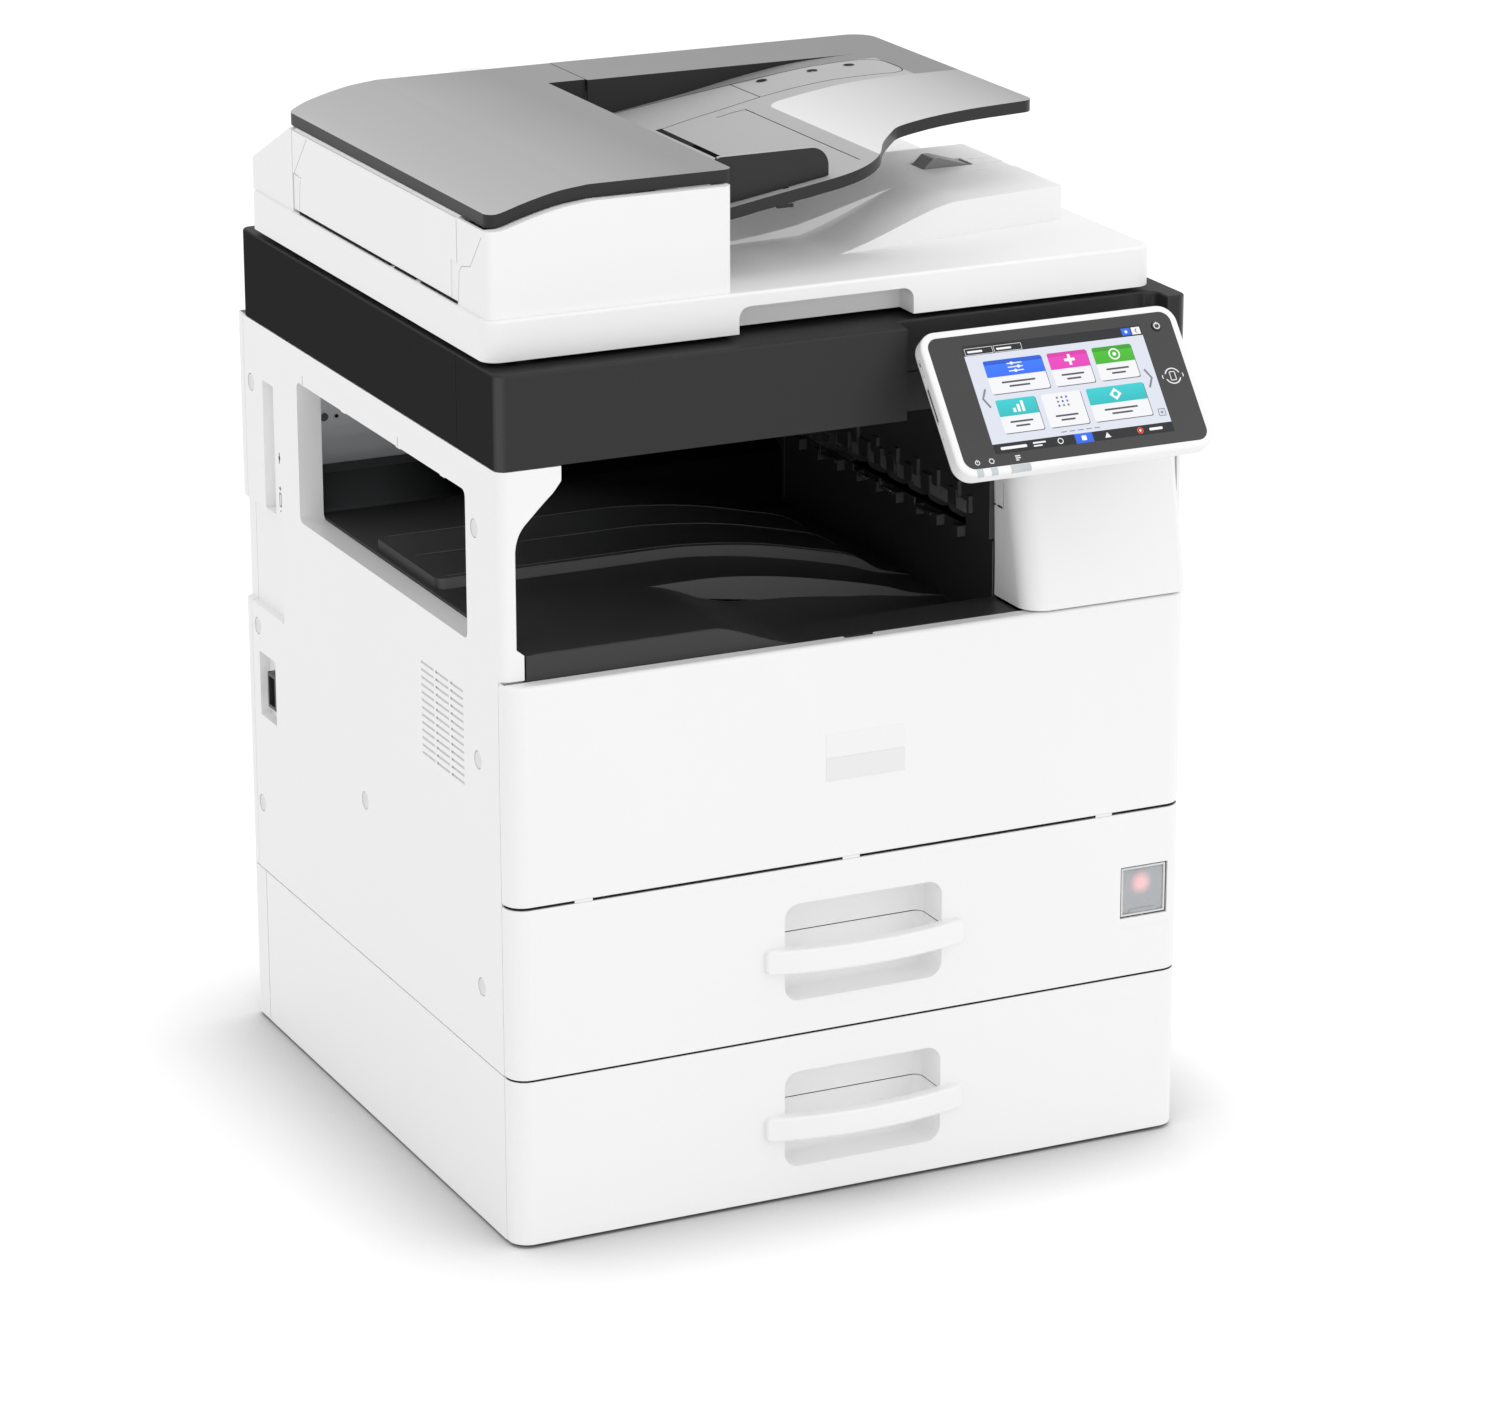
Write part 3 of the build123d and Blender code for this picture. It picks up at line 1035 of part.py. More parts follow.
# ================= operation panel =================
tilt = radians(panel_tilt)
panel_plane = Plane(origin=(panel_x, back(panel_depth_mid), panel_z), x_dir=(1, 0, 0),
                    z_dir=(0, -cos(tilt), sin(tilt)))
screen_depth = 2.0
key_spot = (91.8, 43.4)
key_r = 4.0
key_travel = 1.0
ear_xs = ((neck_x[0] - 11.0, neck_x[0] - 0.5), (neck_x[1] + 0.5, neck_x[1] + 11.0))
back_mid = panel_plane.from_local_coords((0, 0, -panel_thickness + 1.5))
with BuildPart() as panel_housing:
    with BuildSketch(panel_plane) as panel_face:
        RectangleRounded(panel_width, panel_height, panel_corner_r)
    extrude(amount=-panel_thickness)
    fillet(panel_housing.edges().filter_by(
        lambda e: panel_plane.to_local_coords(e.center()).Z > -0.1), 2.2)
    fillet(panel_housing.edges().filter_by(
        lambda e: panel_plane.to_local_coords(e.center()).Z < -panel_thickness + 0.1), 6.0)
    with BuildSketch(panel_plane) as screen_seat:
        RectangleRounded(screen_width, screen_height, panel_corner_r - panel_border)
    extrude(amount=-screen_depth, mode=Mode.SUBTRACT)
    with BuildSketch(panel_plane) as key_well:
        with Locations(key_spot):
            Circle(key_r + 0.3)
    extrude(amount=-screen_depth - 5, mode=Mode.SUBTRACT)
    for ear in ear_xs:
        with BuildSketch(side_plane(ear[0])) as ear_side:
            with BuildLine():
                root_low = (back_mid.Y - 8.3, back_mid.Z - 10.1)
                root_high = (back_mid.Y + 7.0, back_mid.Z + 8.5)
                Polyline(root_low, root_high, (back(panel_axis_depth), panel_axis_z + 8),
                         (back(panel_axis_depth), panel_axis_z - 8), root_low)
            make_face()
        extrude(ear_side.sketch, amount=ear[1] - ear[0])
        shaft_x(panel_axis_depth, panel_axis_z, 8, ear)
    shaft_x(panel_axis_depth, panel_axis_z, panel_pin_r, (ear_xs[0][0], ear_xs[1][1]))
save(panel_housing, "panel_housing")

with BuildPart() as panel_screen:
    with BuildSketch(panel_plane.offset(-screen_depth)):
        RectangleRounded(screen_width, screen_height, panel_corner_r - panel_border)
        with Locations(key_spot):
            Circle(key_r + 0.3, mode=Mode.SUBTRACT)
    extrude(amount=screen_depth)
save(panel_screen, "panel_screen")

with BuildPart() as sleep_key:
    with BuildSketch(panel_plane.offset(-screen_depth - 3)):
        with Locations(key_spot):
            Circle(key_r)
    extrude(amount=screen_depth + 3.8)
save(sleep_key, "sleep_key")

# ================= document feeder =================
slab_x = (-side_x + 2.5, side_x - 18.5)
slab_depths = (37.0, body_depth - 33.0)
slab_r = 13.0
finger_notch = ((-83.0, 65.0), 24.0, 21.0)         # X range, depth and height
feeder_x = (slab_x[0] + 3.0, slab_x[0] + 204.0)
feeder_depths = (40.0, slab_depths[1] - 3.0)
lid_depths = (48.0, feeder_depths[1] - 61.0)
lid_left_x = feeder_x[0] + 4.0
lid_right_x = feeder_x[1] + 4.5
lid_wing = (lid_right_x + 32.5, lid_depths[1] - 73.0)              # right end and front edge of the lid's rear wing
lid_thick = 10.0
lid_gap = 1.0
lid_top_z = 826.7
lid_rise = [(0.0, 810.9), (8.0, 811.2), (16.5, 813.3), (26.2, 816.3), (37.4, 819.4),
            (50.0, 822.4), (64.0, 824.8), (78.0, 826.2), (94.0, lid_top_z)]
lid_curve = [(lid_left_x + across, z) for across, z in lid_rise]


def lid_profile(plane, left, right, bottom, drop):
    """Area under the lid's swept top line, lowered by a drop, down to a level or a parallel line."""
    top = lowered(lid_curve, drop)
    first = (left, top[0][1])
    with BuildSketch(plane) as area:
        with BuildLine():
            if first[0] < top[0][0] - 1:
                Line(first, top[0])
            Spline(*top, tangents=((1, 0), (1, 0)))
            if bottom is None:
                low = lowered(lid_curve, drop + lid_thick)
                Polyline(top[-1], (right, top[-1][1]), (right, low[-1][1]), low[-1])
                Spline(*reversed(low), tangents=((-1, 0), (-1, 0)))
                Line(low[0], top[0])
            else:
                Polyline(top[-1], (right, top[-1][1]), (right, bottom), (left, bottom), first)
        make_face()
    return area.sketch


# Raised form that catches the ejected documents, on the right of the platen cover.
catch_x = (slab_x[1] - 234.0, slab_x[1] - 22.0)
catch_top_z = 760.5
catch_rear = 318.0
rear_ramp_x = (feeder_x[1] + 5.0, catch_x[1] - 85.0)


def spread(ends, points):
    """Points given as a share of the way from one X to another, and a height."""
    return [(ends[0] + share * (ends[1] - ends[0]), z) for share, z in points]


ramp_curve = [(catch_x[0], slab_top_z), (catch_x[0] + 31.0, 740.2), (catch_x[0] + 65.0, 750.4),
              (catch_x[0] + 97.0, 758.8), (catch_x[0] + 119.0, catch_top_z)]
rear_ramp_curve = spread(rear_ramp_x, [(0.0, slab_top_z), (0.248, 735.5), (0.488, 741.5),
                                       (0.728, 752.5), (0.888, 758.8), (1.0, catch_top_z)])
strip_plan = [(catch_x[0] - 3.0, 190.0), (catch_x[0], 117.0), (catch_x[1], 148.0),
              (catch_x[1], 214.0), (catch_x[1] - 103.0, 214.0)]
rear_plan = [(rear_ramp_x[0], 178.0), (catch_x[0] - 3.0, 188.5), (catch_x[1] - 103.0, 212.5),
             (catch_x[1], 212.5), (catch_x[1], catch_rear), (rear_ramp_x[0], catch_rear)]
flap_hinge = (catch_x[1] - 31.0, catch_top_z - 3.0)
flap_depths = (250.0, 271.0)
flap_left_x = flap_hinge[0] - 41.0


def catch_form(plan_points, curve):
    """Part of the raised form: a plan outline under a ramp that ends level."""
    with BuildPart() as form:
        with BuildSketch(Plane.XY.offset(slab_top_z - 0.5)):
            with BuildLine():
                Polyline(*[(x, back(depth)) for x, depth in plan_points], close=True)
            make_face()
        extrude(amount=40)
        with BuildSketch(front_plane(0)):
            with BuildLine():
                Spline(*curve)
                Polyline(curve[-1], (catch_x[1] + 5, catch_top_z),
                         (catch_x[1] + 5, slab_top_z - 0.5), (curve[0][0], slab_top_z - 0.5),
                         curve[0])
            make_face()
        extrude(amount=-400, mode=Mode.INTERSECT)
    return form.part


strip_form = catch_form(strip_plan, ramp_curve)
rear_form = catch_form(rear_plan, rear_ramp_curve)
with BuildPart() as feeder_base:
    with BuildSketch(Plane.XY.offset(slab_bottom_z)) as slab_plan:
        with Locations((sum(slab_x) / 2, back(sum(slab_depths) / 2))):
            RectangleRounded(slab_x[1] - slab_x[0], slab_depths[1] - slab_depths[0], slab_r)
    extrude(amount=slab_top_z - slab_bottom_z)
    fillet(feeder_base.edges().group_by(Axis.Z)[-1], 2.5)
    with BuildSketch(front_plane(slab_depths[0] - 1)) as notch_face:
        with BuildLine():
            left, right = finger_notch[0]
            top = slab_bottom_z + finger_notch[2]
            Polyline((left, slab_bottom_z - 1), (left, top - 9))
            RadiusArc((left, top - 9), (left + 9, top), 9)
            Line((left + 9, top), (right - 9, top))
            RadiusArc((right - 9, top), (right, top - 9), 9)
            Polyline((right, top - 9), (right, slab_bottom_z - 1), (left, slab_bottom_z - 1))
        make_face()
    extrude(notch_face.sketch, amount=-finger_notch[1] - 1, mode=Mode.SUBTRACT)
    add(strip_form)
    add(rear_form)
    # Hollow inside, open under the feeder's body.
    block((slab_x[0] + 3, slab_x[1] - 3), (slab_depths[0] + finger_notch[1] + 3, slab_depths[1] - 3),
          (slab_bottom_z + 3, slab_top_z - 3), mode=Mode.SUBTRACT)
    block((feeder_x[0] + 8, feeder_x[1] - 8), (70, feeder_depths[1] - 32),
          (slab_top_z - 4, slab_top_z + 1),
          mode=Mode.SUBTRACT)
    block((flap_left_x - 1.5, flap_hinge[0] + 4), (flap_depths[0] - 1, flap_depths[1] + 1),
          (catch_top_z - 9, catch_top_z + 1), mode=Mode.SUBTRACT)
    block((flap_left_x - 1.5, catch_x[1] + 1), (226, flap_depths[0] - 1),
          (catch_top_z - 0.8, catch_top_z + 1), mode=Mode.SUBTRACT)
    shaft_y(flap_hinge[0], flap_hinge[1], 1.5 + running, (flap_depths[0] - 4, flap_depths[1] + 4),
            mode=Mode.SUBTRACT)
    # Rear arms with the pins of the hinges, and pads that rest on the housing.
    for x in hinge_xs:
        for low, high in ((x - hinge_half - 10, x - hinge_half - 0.5),
                          (x + hinge_half + 0.5, x + hinge_half + 10)):
            block((low, high), (slab_depths[1] - 4, hinge_depth), (hinge_z - 4.5, hinge_z + 8))
            shaft_x(hinge_depth, hinge_z, 8, (low, high))
        shaft_x(hinge_depth, hinge_z, hinge_pin_r, (x - hinge_half - 5, x + hinge_half + 5))
    for x in (slab_x[0] + 41, slab_x[1] - 30):
        for depth in (62, slab_depths[1] - 35):
            with Locations((x, back(depth), (housing_top_z + seat + slab_bottom_z) / 2)):
                Cylinder(6, slab_bottom_z - housing_top_z - seat)
save(feeder_base, "feeder_base")

with BuildPart() as exit_stopper:
    with BuildSketch(front_plane(flap_depths[0])) as stopper_side:
        with BuildLine():
            Polyline((flap_left_x, catch_top_z - 2), (flap_left_x + 10, catch_top_z + 7),
                     (flap_left_x + 16, catch_top_z + 7), (flap_hinge[0], catch_top_z - 0.5),
                     (flap_hinge[0], catch_top_z - 5), (flap_left_x + 14, catch_top_z - 6),
                     (flap_left_x, catch_top_z - 2))
        make_face()
    extrude(stopper_side.sketch, amount=flap_depths[0] - flap_depths[1])
    shaft_y(flap_hinge[0], flap_hinge[1], 2.4, flap_depths)
    shaft_y(flap_hinge[0], flap_hinge[1], 1.5, (flap_depths[0] - 3.5, flap_depths[1] + 3.5))
save(exit_stopper, "exit_stopper")

with BuildPart() as platen_pad:
    block((main_glass_x[0] + 2, main_glass_x[1] - 2), (glass_depths[0] + 2, glass_depths[1] - 2),
          (housing_top_z + seat, slab_bottom_z))
    fillet(platen_pad.edges().filter_by(Axis.Z), 6)
save(platen_pad, "platen_pad")

hopper_thick = 9.5
hopper_left_z = 789.5        # paper surface where it enters the feeder
hopper_depths = (75.0, lid_depths[1] + 0.5)
strip_front = lid_wing[1] - 3.0          # front of the level strip behind the paper
entry_z = hopper_left_z - hopper_thick
door_range = (98.0, lid_depths[1] - 31.0)
side_door_z = (735.0, 799.3)
door_axis_x = feeder_x[0] + 4.0
door_axis_z = 739.3
door_pin_r = 1.4
doc_roller_x = feeder_x[1] - 53.0
doc_roller_z = 778.0
doc_roller_r = 14.0
with BuildPart() as feeder_body:
    body_area = lid_profile(front_plane(feeder_depths[0]), feeder_x[0], feeder_x[1], slab_top_z,
                            lid_thick + lid_gap)
    extrude(body_area, amount=feeder_depths[0] - feeder_depths[1])
    # The rear left corner falls away in one slanting face.
    slant = Plane(origin=(feeder_x[0], back(lid_depths[1] - 23), 799), z_dir=(-0.3, 0.47, 1))
    with BuildSketch(slant) as cut:
        Rectangle(900, 900)
    extrude(cut.sketch, amount=200, mode=Mode.SUBTRACT)
    fillet(feeder_body.edges().filter_by(Axis.Z).group_by(Axis.Y)[0], 6)
    block((feeder_x[0] + wall, feeder_x[1] - wall), (lid_depths[0] + 2, door_range[1]),
          (slab_top_z - 1, 840), mode=Mode.SUBTRACT)
    # Openings: side door, document entry and document exit.
    block((feeder_x[0] - 1, feeder_x[0] + 40), (door_range[0] - 1.2, door_range[1] + 1.2),
          (slab_top_z - 1, 840), mode=Mode.SUBTRACT)
    block((feeder_x[1] - 20, feeder_x[1] + 1), (hopper_depths[0] - 0.5, strip_front + 1.5),
          (entry_z, 840), mode=Mode.SUBTRACT)
    block((feeder_x[1] - 20, feeder_x[1] + 1), (100, strip_front + 5), (slab_top_z + 6, slab_top_z + 22),
          mode=Mode.SUBTRACT)
    shaft_y(doc_roller_x, doc_roller_z, roller_shaft_r + running,
            (lid_depths[0] - 3, door_range[1] + 10), mode=Mode.SUBTRACT)
    # Bosses of the side door's pins.
    for depths in ((door_range[0] - 8, door_range[0] - 1.2), (door_range[1] + 1.2, door_range[1] + 10)):
        block((feeder_x[0] + wall, feeder_x[0] + 9), depths, (slab_top_z, door_axis_z + 5))
    shaft_y(door_axis_x, door_axis_z, door_pin_r + running, (door_range[0] - 6, door_range[1] + 6),
            mode=Mode.SUBTRACT)
save(feeder_body, "feeder_body")

with BuildPart() as feeder_lid:
    lid_area = lid_profile(front_plane(lid_depths[0]), lid_left_x, lid_right_x, None, 0)
    extrude(lid_area, amount=lid_depths[0] - lid_depths[1])
    block((lid_right_x - 5, lid_wing[0]), (lid_wing[1], lid_depths[1]),
          (lid_top_z - lid_thick, lid_top_z))
    block((lid_right_x + 1, lid_wing[0]), (lid_wing[1], lid_wing[1] + 2.5), (803, lid_top_z - 1))
    upright = feeder_lid.edges().filter_by(Axis.Z)
    fillet(upright.sort_by_distance((lid_left_x, back(lid_depths[1]), 806))[0], 24)
    for x in (lid_left_x, lid_right_x):
        fillet(feeder_lid.edges().filter_by(Axis.Z).sort_by_distance(
            (x, back(lid_depths[0]), 815))[0], 8)
    block((feeder_x[0] + 30, feeder_x[1] - 12), (80, door_range[1]), (lid_top_z - 30, lid_top_z - 14),
          mode=Mode.SUBTRACT)
save(feeder_lid, "feeder_lid")

with BuildPart() as feeder_door:
    block((feeder_x[0], feeder_x[0] + 3), door_range, side_door_z)
    with BuildSketch(front_plane(door_range[0])) as flange:
        with BuildLine():
            Polyline((feeder_x[0] + 2, side_door_z[1] - 4), (feeder_x[0] + 2, side_door_z[1]),
                     (lid_left_x + 1, lid_curve[0][1] - lid_thick),
                     (lid_left_x + 7, lid_curve[0][1] - lid_thick),
                     (lid_left_x + 7, side_door_z[1] - 4), (feeder_x[0] + 2, side_door_z[1] - 4))
        make_face()
    extrude(flange.sketch, amount=door_range[0] - door_range[1])
    fillet(feeder_door.edges().filter_by(Axis.Y).filter_by(
        lambda e: e.center().X < feeder_x[0] + 0.1 and e.center().Z < side_door_z[0] + 1), 1.5)
    # The lower strip of the outside is shorter than the upper one.
    for depths in ((door_range[0] - 1, door_range[0] + 12), (door_range[1] - 12, door_range[1] + 1)):
        block((feeder_x[0] - 1, feeder_x[0] + 0.8), depths, (side_door_z[0] - 1, 765),
              mode=Mode.SUBTRACT)
    for depths in (door_range[:1] + (door_range[0] + 10,), (door_range[1] - 10,) + door_range[1:]):
        block((feeder_x[0] + 2, door_axis_x + 2.2), depths, (door_axis_z - 2.4, door_axis_z + 2.4))
    shaft_y(door_axis_x, door_axis_z, door_pin_r, (door_range[0] - 5.5, door_range[0] + 10))
    shaft_y(door_axis_x, door_axis_z, door_pin_r, (door_range[1] - 10, door_range[1] + 5.5))
save(feeder_door, "feeder_door")

with BuildPart() as doc_feed_roller:
    shaft_y(doc_roller_x, doc_roller_z, roller_shaft_r, (lid_depths[0] - 1, door_range[1] + 9))
    for depth in (212.0, 262.0):
        shaft_y(doc_roller_x, doc_roller_z, doc_roller_r, (depth, depth + 24))
save(doc_feed_roller, "doc_feed_roller")

hopper_left = feeder_x[1] + 2.0
hopper_right = slab_x[1] - 35.0
strip_left = lid_wing[0] + 0.8
guide_slot_x = (feeder_x[1] + 63.0, feeder_x[1] + 68.0)
guide_fin_depths = (84.0, 88.0)
doc_guide_travel = 160.0
hopper_rise = [(0.0, hopper_left_z), (0.104, 793.0), (0.2054, 797.6), (0.362, 804.6),
               (0.4609, 809.3), (0.5269, 813.0), (0.6262, 818.1), (0.7061, 821.6),
               (0.7849, 824.3), (0.8925, 826.1), (1.0, lid_top_z)]
hopper_curve = spread((feeder_x[1] + 3.0, hopper_right - 45.0), hopper_rise)
front_edge_x = feeder_x[1] + 92.0      # where the hopper's front edge starts to swing back


def hopper_area(left, top_curve, low_curve):
    """Area between two curves, level to their left and right, seen from the front."""
    with BuildSketch(front_plane(0)) as area:
        with BuildLine():
            Line((left, top_curve[0][1]), top_curve[0])
            Spline(*top_curve, tangents=((1, 0), (1, 0)))
            Polyline(top_curve[-1], (hopper_right, top_curve[-1][1]),
                     (hopper_right, low_curve[-1][1]), low_curve[-1])
            Spline(*reversed(low_curve), tangents=((-1, 0), (-1, 0)))
            Polyline(low_curve[0], (left, low_curve[0][1]), (left, top_curve[0][1]))
        make_face()
    return area.sketch


with BuildPart() as hopper_strip:
    # Level strip behind the paper, with a wall down to the paper surface.
    with BuildSketch(front_plane(strip_front)) as strip_face:
        with BuildLine():
            low = [p for p in lowered(hopper_curve, 5) if p[0] > strip_left]
            Polyline((strip_left, lid_top_z), (hopper_right, lid_top_z), (hopper_right, low[-1][1]),
                     *reversed(low), (strip_left, low[0][1] - 6), (strip_left, lid_top_z))
        make_face()
    extrude(strip_face.sketch, amount=strip_front - hopper_depths[1])
with BuildPart() as hopper_tray:
    with BuildSketch(Plane.XY.offset(760)) as tray_plan:
        with BuildLine():
            Polyline((hopper_left, back(strip_front + 1)), (feeder_x[1] - 11, back(strip_front + 1)),
                     (feeder_x[1] - 11, back(hopper_depths[0])),
                     (front_edge_x, back(hopper_depths[0])))
            swing = [(front_edge_x + across, back(hopper_depths[0] + rise)) for across, rise
                     in ((0, 0), (26, 2), (48, 11), (63, 26), (75, 46), (96, 70), (121, 79))]
            Spline(*swing, tangents=((1, 0), (1, 0.1)))
            Polyline(swing[-1], (hopper_right, back(171)), (hopper_right,
                     back(hopper_depths[1])), (hopper_left, back(hopper_depths[1])),
                     (hopper_left, back(strip_front + 1)))
        make_face()
    extrude(amount=80)
    surface_area = hopper_area(feeder_x[1] - 12, hopper_curve, lowered(hopper_curve, hopper_thick))
    extrude(surface_area, amount=-hopper_depths[1] - 1, mode=Mode.INTERSECT)
    add(hopper_strip.part)
    for spot, radius in (((hopper_right, back(171)), 12), ((hopper_right, back(hopper_depths[1])), 20)):
        fillet(hopper_tray.edges().filter_by(Axis.Z).sort_by_distance((*spot, 822))[0], radius)
    # Slot of the document guide and the seams of the cover plates.
    block(guide_slot_x, (guide_fin_depths[0] - 1.5, guide_fin_depths[1] + doc_guide_travel + 4),
          (780, 830), mode=Mode.SUBTRACT)
    block((feeder_x[1] + 136.6, feeder_x[1] + 137.4), (101, 307), (806, 830), mode=Mode.SUBTRACT)
save(hopper_tray, "hopper_tray")

with BuildPart() as doc_guide:
    fin_top = lid_top_z + 1.0
    fin_x = (feeder_x[1] + 7.0, hopper_curve[3][0] - 2.0)
    with BuildSketch(front_plane(guide_fin_depths[0])) as fin:
        with BuildLine():
            low = lowered(hopper_curve[:4], -0.35)
            Line((fin_x[0], fin_top), (fin_x[0], low[0][1]))
            Polyline((fin_x[0], low[0][1]), *low[1:3], (fin_x[1], low[3][1]))
            Polyline((fin_x[1], low[3][1]), (fin_x[1], fin_top), (fin_x[0], fin_top))
        make_face()
    extrude(fin.sketch, amount=guide_fin_depths[0] - guide_fin_depths[1])
    for x, radius in ((fin_x[1], 15), (fin_x[0], 4)):
        fillet(doc_guide.edges().filter_by(Axis.Y).sort_by_distance(
            (x, back(guide_fin_depths[0]), fin_top))[0], radius)
    # Tongue through the tray's slot, with a foot under it.
    block((guide_slot_x[0] + 0.4, guide_slot_x[1] - 0.4), guide_fin_depths, (784, 803))
    block((guide_slot_x[0] - 4, guide_slot_x[1] + 4), guide_fin_depths, (783, 786))
save(doc_guide, "doc_guide")
print("all parts written")
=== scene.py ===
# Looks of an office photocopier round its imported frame.
# Metres: X to the machine's right, Y to its back, Z up.
import json
import math

import bpy
import numpy as np
from mathutils import Matrix, Vector
from mathutils.bvhtree import BVHTree


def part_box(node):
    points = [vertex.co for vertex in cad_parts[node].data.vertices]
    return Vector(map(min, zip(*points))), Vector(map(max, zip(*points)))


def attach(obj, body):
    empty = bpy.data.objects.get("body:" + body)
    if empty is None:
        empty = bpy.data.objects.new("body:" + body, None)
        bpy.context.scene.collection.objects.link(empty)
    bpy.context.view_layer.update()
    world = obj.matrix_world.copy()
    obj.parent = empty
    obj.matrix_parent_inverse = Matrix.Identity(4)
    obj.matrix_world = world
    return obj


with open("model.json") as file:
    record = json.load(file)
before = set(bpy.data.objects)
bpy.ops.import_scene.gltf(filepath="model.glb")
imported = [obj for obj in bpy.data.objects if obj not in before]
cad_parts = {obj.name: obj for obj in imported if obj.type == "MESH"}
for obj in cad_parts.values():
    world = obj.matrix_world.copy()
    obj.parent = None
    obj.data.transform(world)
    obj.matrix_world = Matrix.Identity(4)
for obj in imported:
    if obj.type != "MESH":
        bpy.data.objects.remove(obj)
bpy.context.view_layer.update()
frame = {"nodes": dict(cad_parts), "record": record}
nodes = frame["nodes"]
slotOf = {row["node"]: row["material_slot"] for row in frame["record"]["subparts"]}
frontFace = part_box("front_cover")[0].y      # face of the front covers; depths are measured back from it
print("frame loaded:", len(nodes), "nodes")

mm = 0.001
aboveAll = 1000.0       # millimetres, higher than the machine
panelFace = dict(x=159.1, depth=-40.0, z=648.4, tilt=39.5, half=111.5)      # middle of the panel's glass
panelTilt = math.radians(panelFace["tilt"])
panelSin, panelCos = math.sin(panelTilt), math.cos(panelTilt)


def inMetres(lengths):
    return [length * mm for length in lengths]


def around(middle, half):  # both ends of a length about its middle
    return middle - half, middle + half


def spot(x, depth, z):  # millimetres to a point in the frame, any of the three may be an array
    x, depth, z = np.broadcast_arrays(np.asarray(x, float), np.asarray(depth, float), np.asarray(z, float))
    return np.stack([x * mm, frontFace + depth * mm, z * mm], axis=-1)


# Each of these turns two lengths along a surface and a height above it into points.
def onPanel(a, b, h):
    return spot(panelFace["x"] + a, panelFace["depth"] + b * panelSin - h * panelCos,
                panelFace["z"] + b * panelCos + h * panelSin)


def onPanelSide(a, b, h):
    return onPanel(-panelFace["half"] - h, a, b)


def onFront(depth):
    return lambda a, b, h: spot(a, depth - h, b)


def onLeft(x):
    return lambda a, b, h: spot(x - h, a, b)


def onTop(z):
    return lambda a, b, h: spot(a, b, z + h)


def turned(place):  # a profile of height over width, drawn out along the surface
    return lambda a, b, h: place(h, a, b)


def draped(name):  # on top of a node: each point drops from above onto its surface
    mesh = nodes[name].data
    tree = BVHTree.FromPolygons([vertex.co.copy() for vertex in mesh.vertices],
                                [tuple(face.vertices) for face in mesh.polygons])

    def place(a, b, h):
        points = spot(a, b, aboveAll)
        points[..., 2] = [tree.ray_cast(Vector(point), (0, 0, -1))[0].z for point in points]
        points[..., 2] += np.asarray(h) * mm
        return points
    return place


# A Flow is one socket, and arithmetic on it adds Math nodes, so colours and heights are written as sums.
class Flow:
    def __init__(self, nodes, socket):
        self.nodes, self.socket = nodes, socket

    def calc(self, operation, *others, clamp=False):
        return self.nodes.node("ShaderNodeMath", {"operation": operation, "use_clamp": clamp},
                               dict(enumerate((self,) + others)))

    def __add__(self, other):
        return self.calc("ADD", other)

    def __radd__(self, other):
        return self.calc("ADD", other)

    def __sub__(self, other):
        return self.calc("SUBTRACT", other)

    def __rsub__(self, other):
        return (self * -1.0).calc("ADD", other)

    def __mul__(self, other):
        return self.calc("MULTIPLY", other)

    def __rmul__(self, other):
        return self.calc("MULTIPLY", other)

    def __truediv__(self, other):
        return self.calc("DIVIDE", other)

    def clamped(self):
        return self.calc("ADD", 0.0, clamp=True)

    def above(self, edge, soft=1e-5):
        return ((self - edge) / soft).calc("ADD", 0.5, clamp=True)

    def below(self, edge, soft=1e-5):
        return ((self - edge) / -soft).calc("ADD", 0.5, clamp=True)

    def between(self, low, high, soft=1e-5):
        return self.above(low, soft) * self.below(high, soft)

    def ramp(self, low, high):
        return ((self - low) / (high - low)).clamped()


class Nodes:
    def __init__(self, tree):
        self.tree = tree

    def node(self, kind, settings=None, inputs=None, output=0):
        made = self.tree.nodes.new(kind)
        for key, value in (settings or {}).items():
            setattr(made, key, value)
        for key, value in (inputs or {}).items():
            self.feed(made.inputs[key], value)
        return Flow(self, made.outputs[output])

    def feed(self, socket, value):
        if isinstance(value, Flow):
            self.tree.links.new(value.socket, socket)
        else:
            socket.default_value = (*value, 1) if socket.type == "RGBA" and len(value) == 3 else value

    def coordinates(self, output):
        split = self.node("ShaderNodeSeparateXYZ", inputs={0: self.node("ShaderNodeTexCoord", output=output)})
        return [Flow(self, socket) for socket in split.socket.node.outputs]

    def noise(self, scale, detail=2.0, stretch=(1, 1, 1)):
        spread = self.node("ShaderNodeMapping", inputs={0: self.node("ShaderNodeTexCoord", output="Object"),
                                                        "Scale": stretch})
        return self.node("ShaderNodeTexNoise", {"noise_dimensions": "3D"},
                         {"Vector": spread, "Scale": scale, "Detail": detail})

    def mix(self, share, first, second):
        return self.node("ShaderNodeMix", {"data_type": "RGBA"}, {0: share, 6: first, 7: second}, output=2)

    def shown(self):  # 1 for rays that show the background: from the camera, reflected or passed through
        camera, glossy, through = (self.node("ShaderNodeLightPath", output=name)
                                   for name in ("Is Camera Ray", "Is Glossy Ray", "Is Transmission Ray"))
        return camera.calc("MAXIMUM", glossy).calc("MAXIMUM", through)


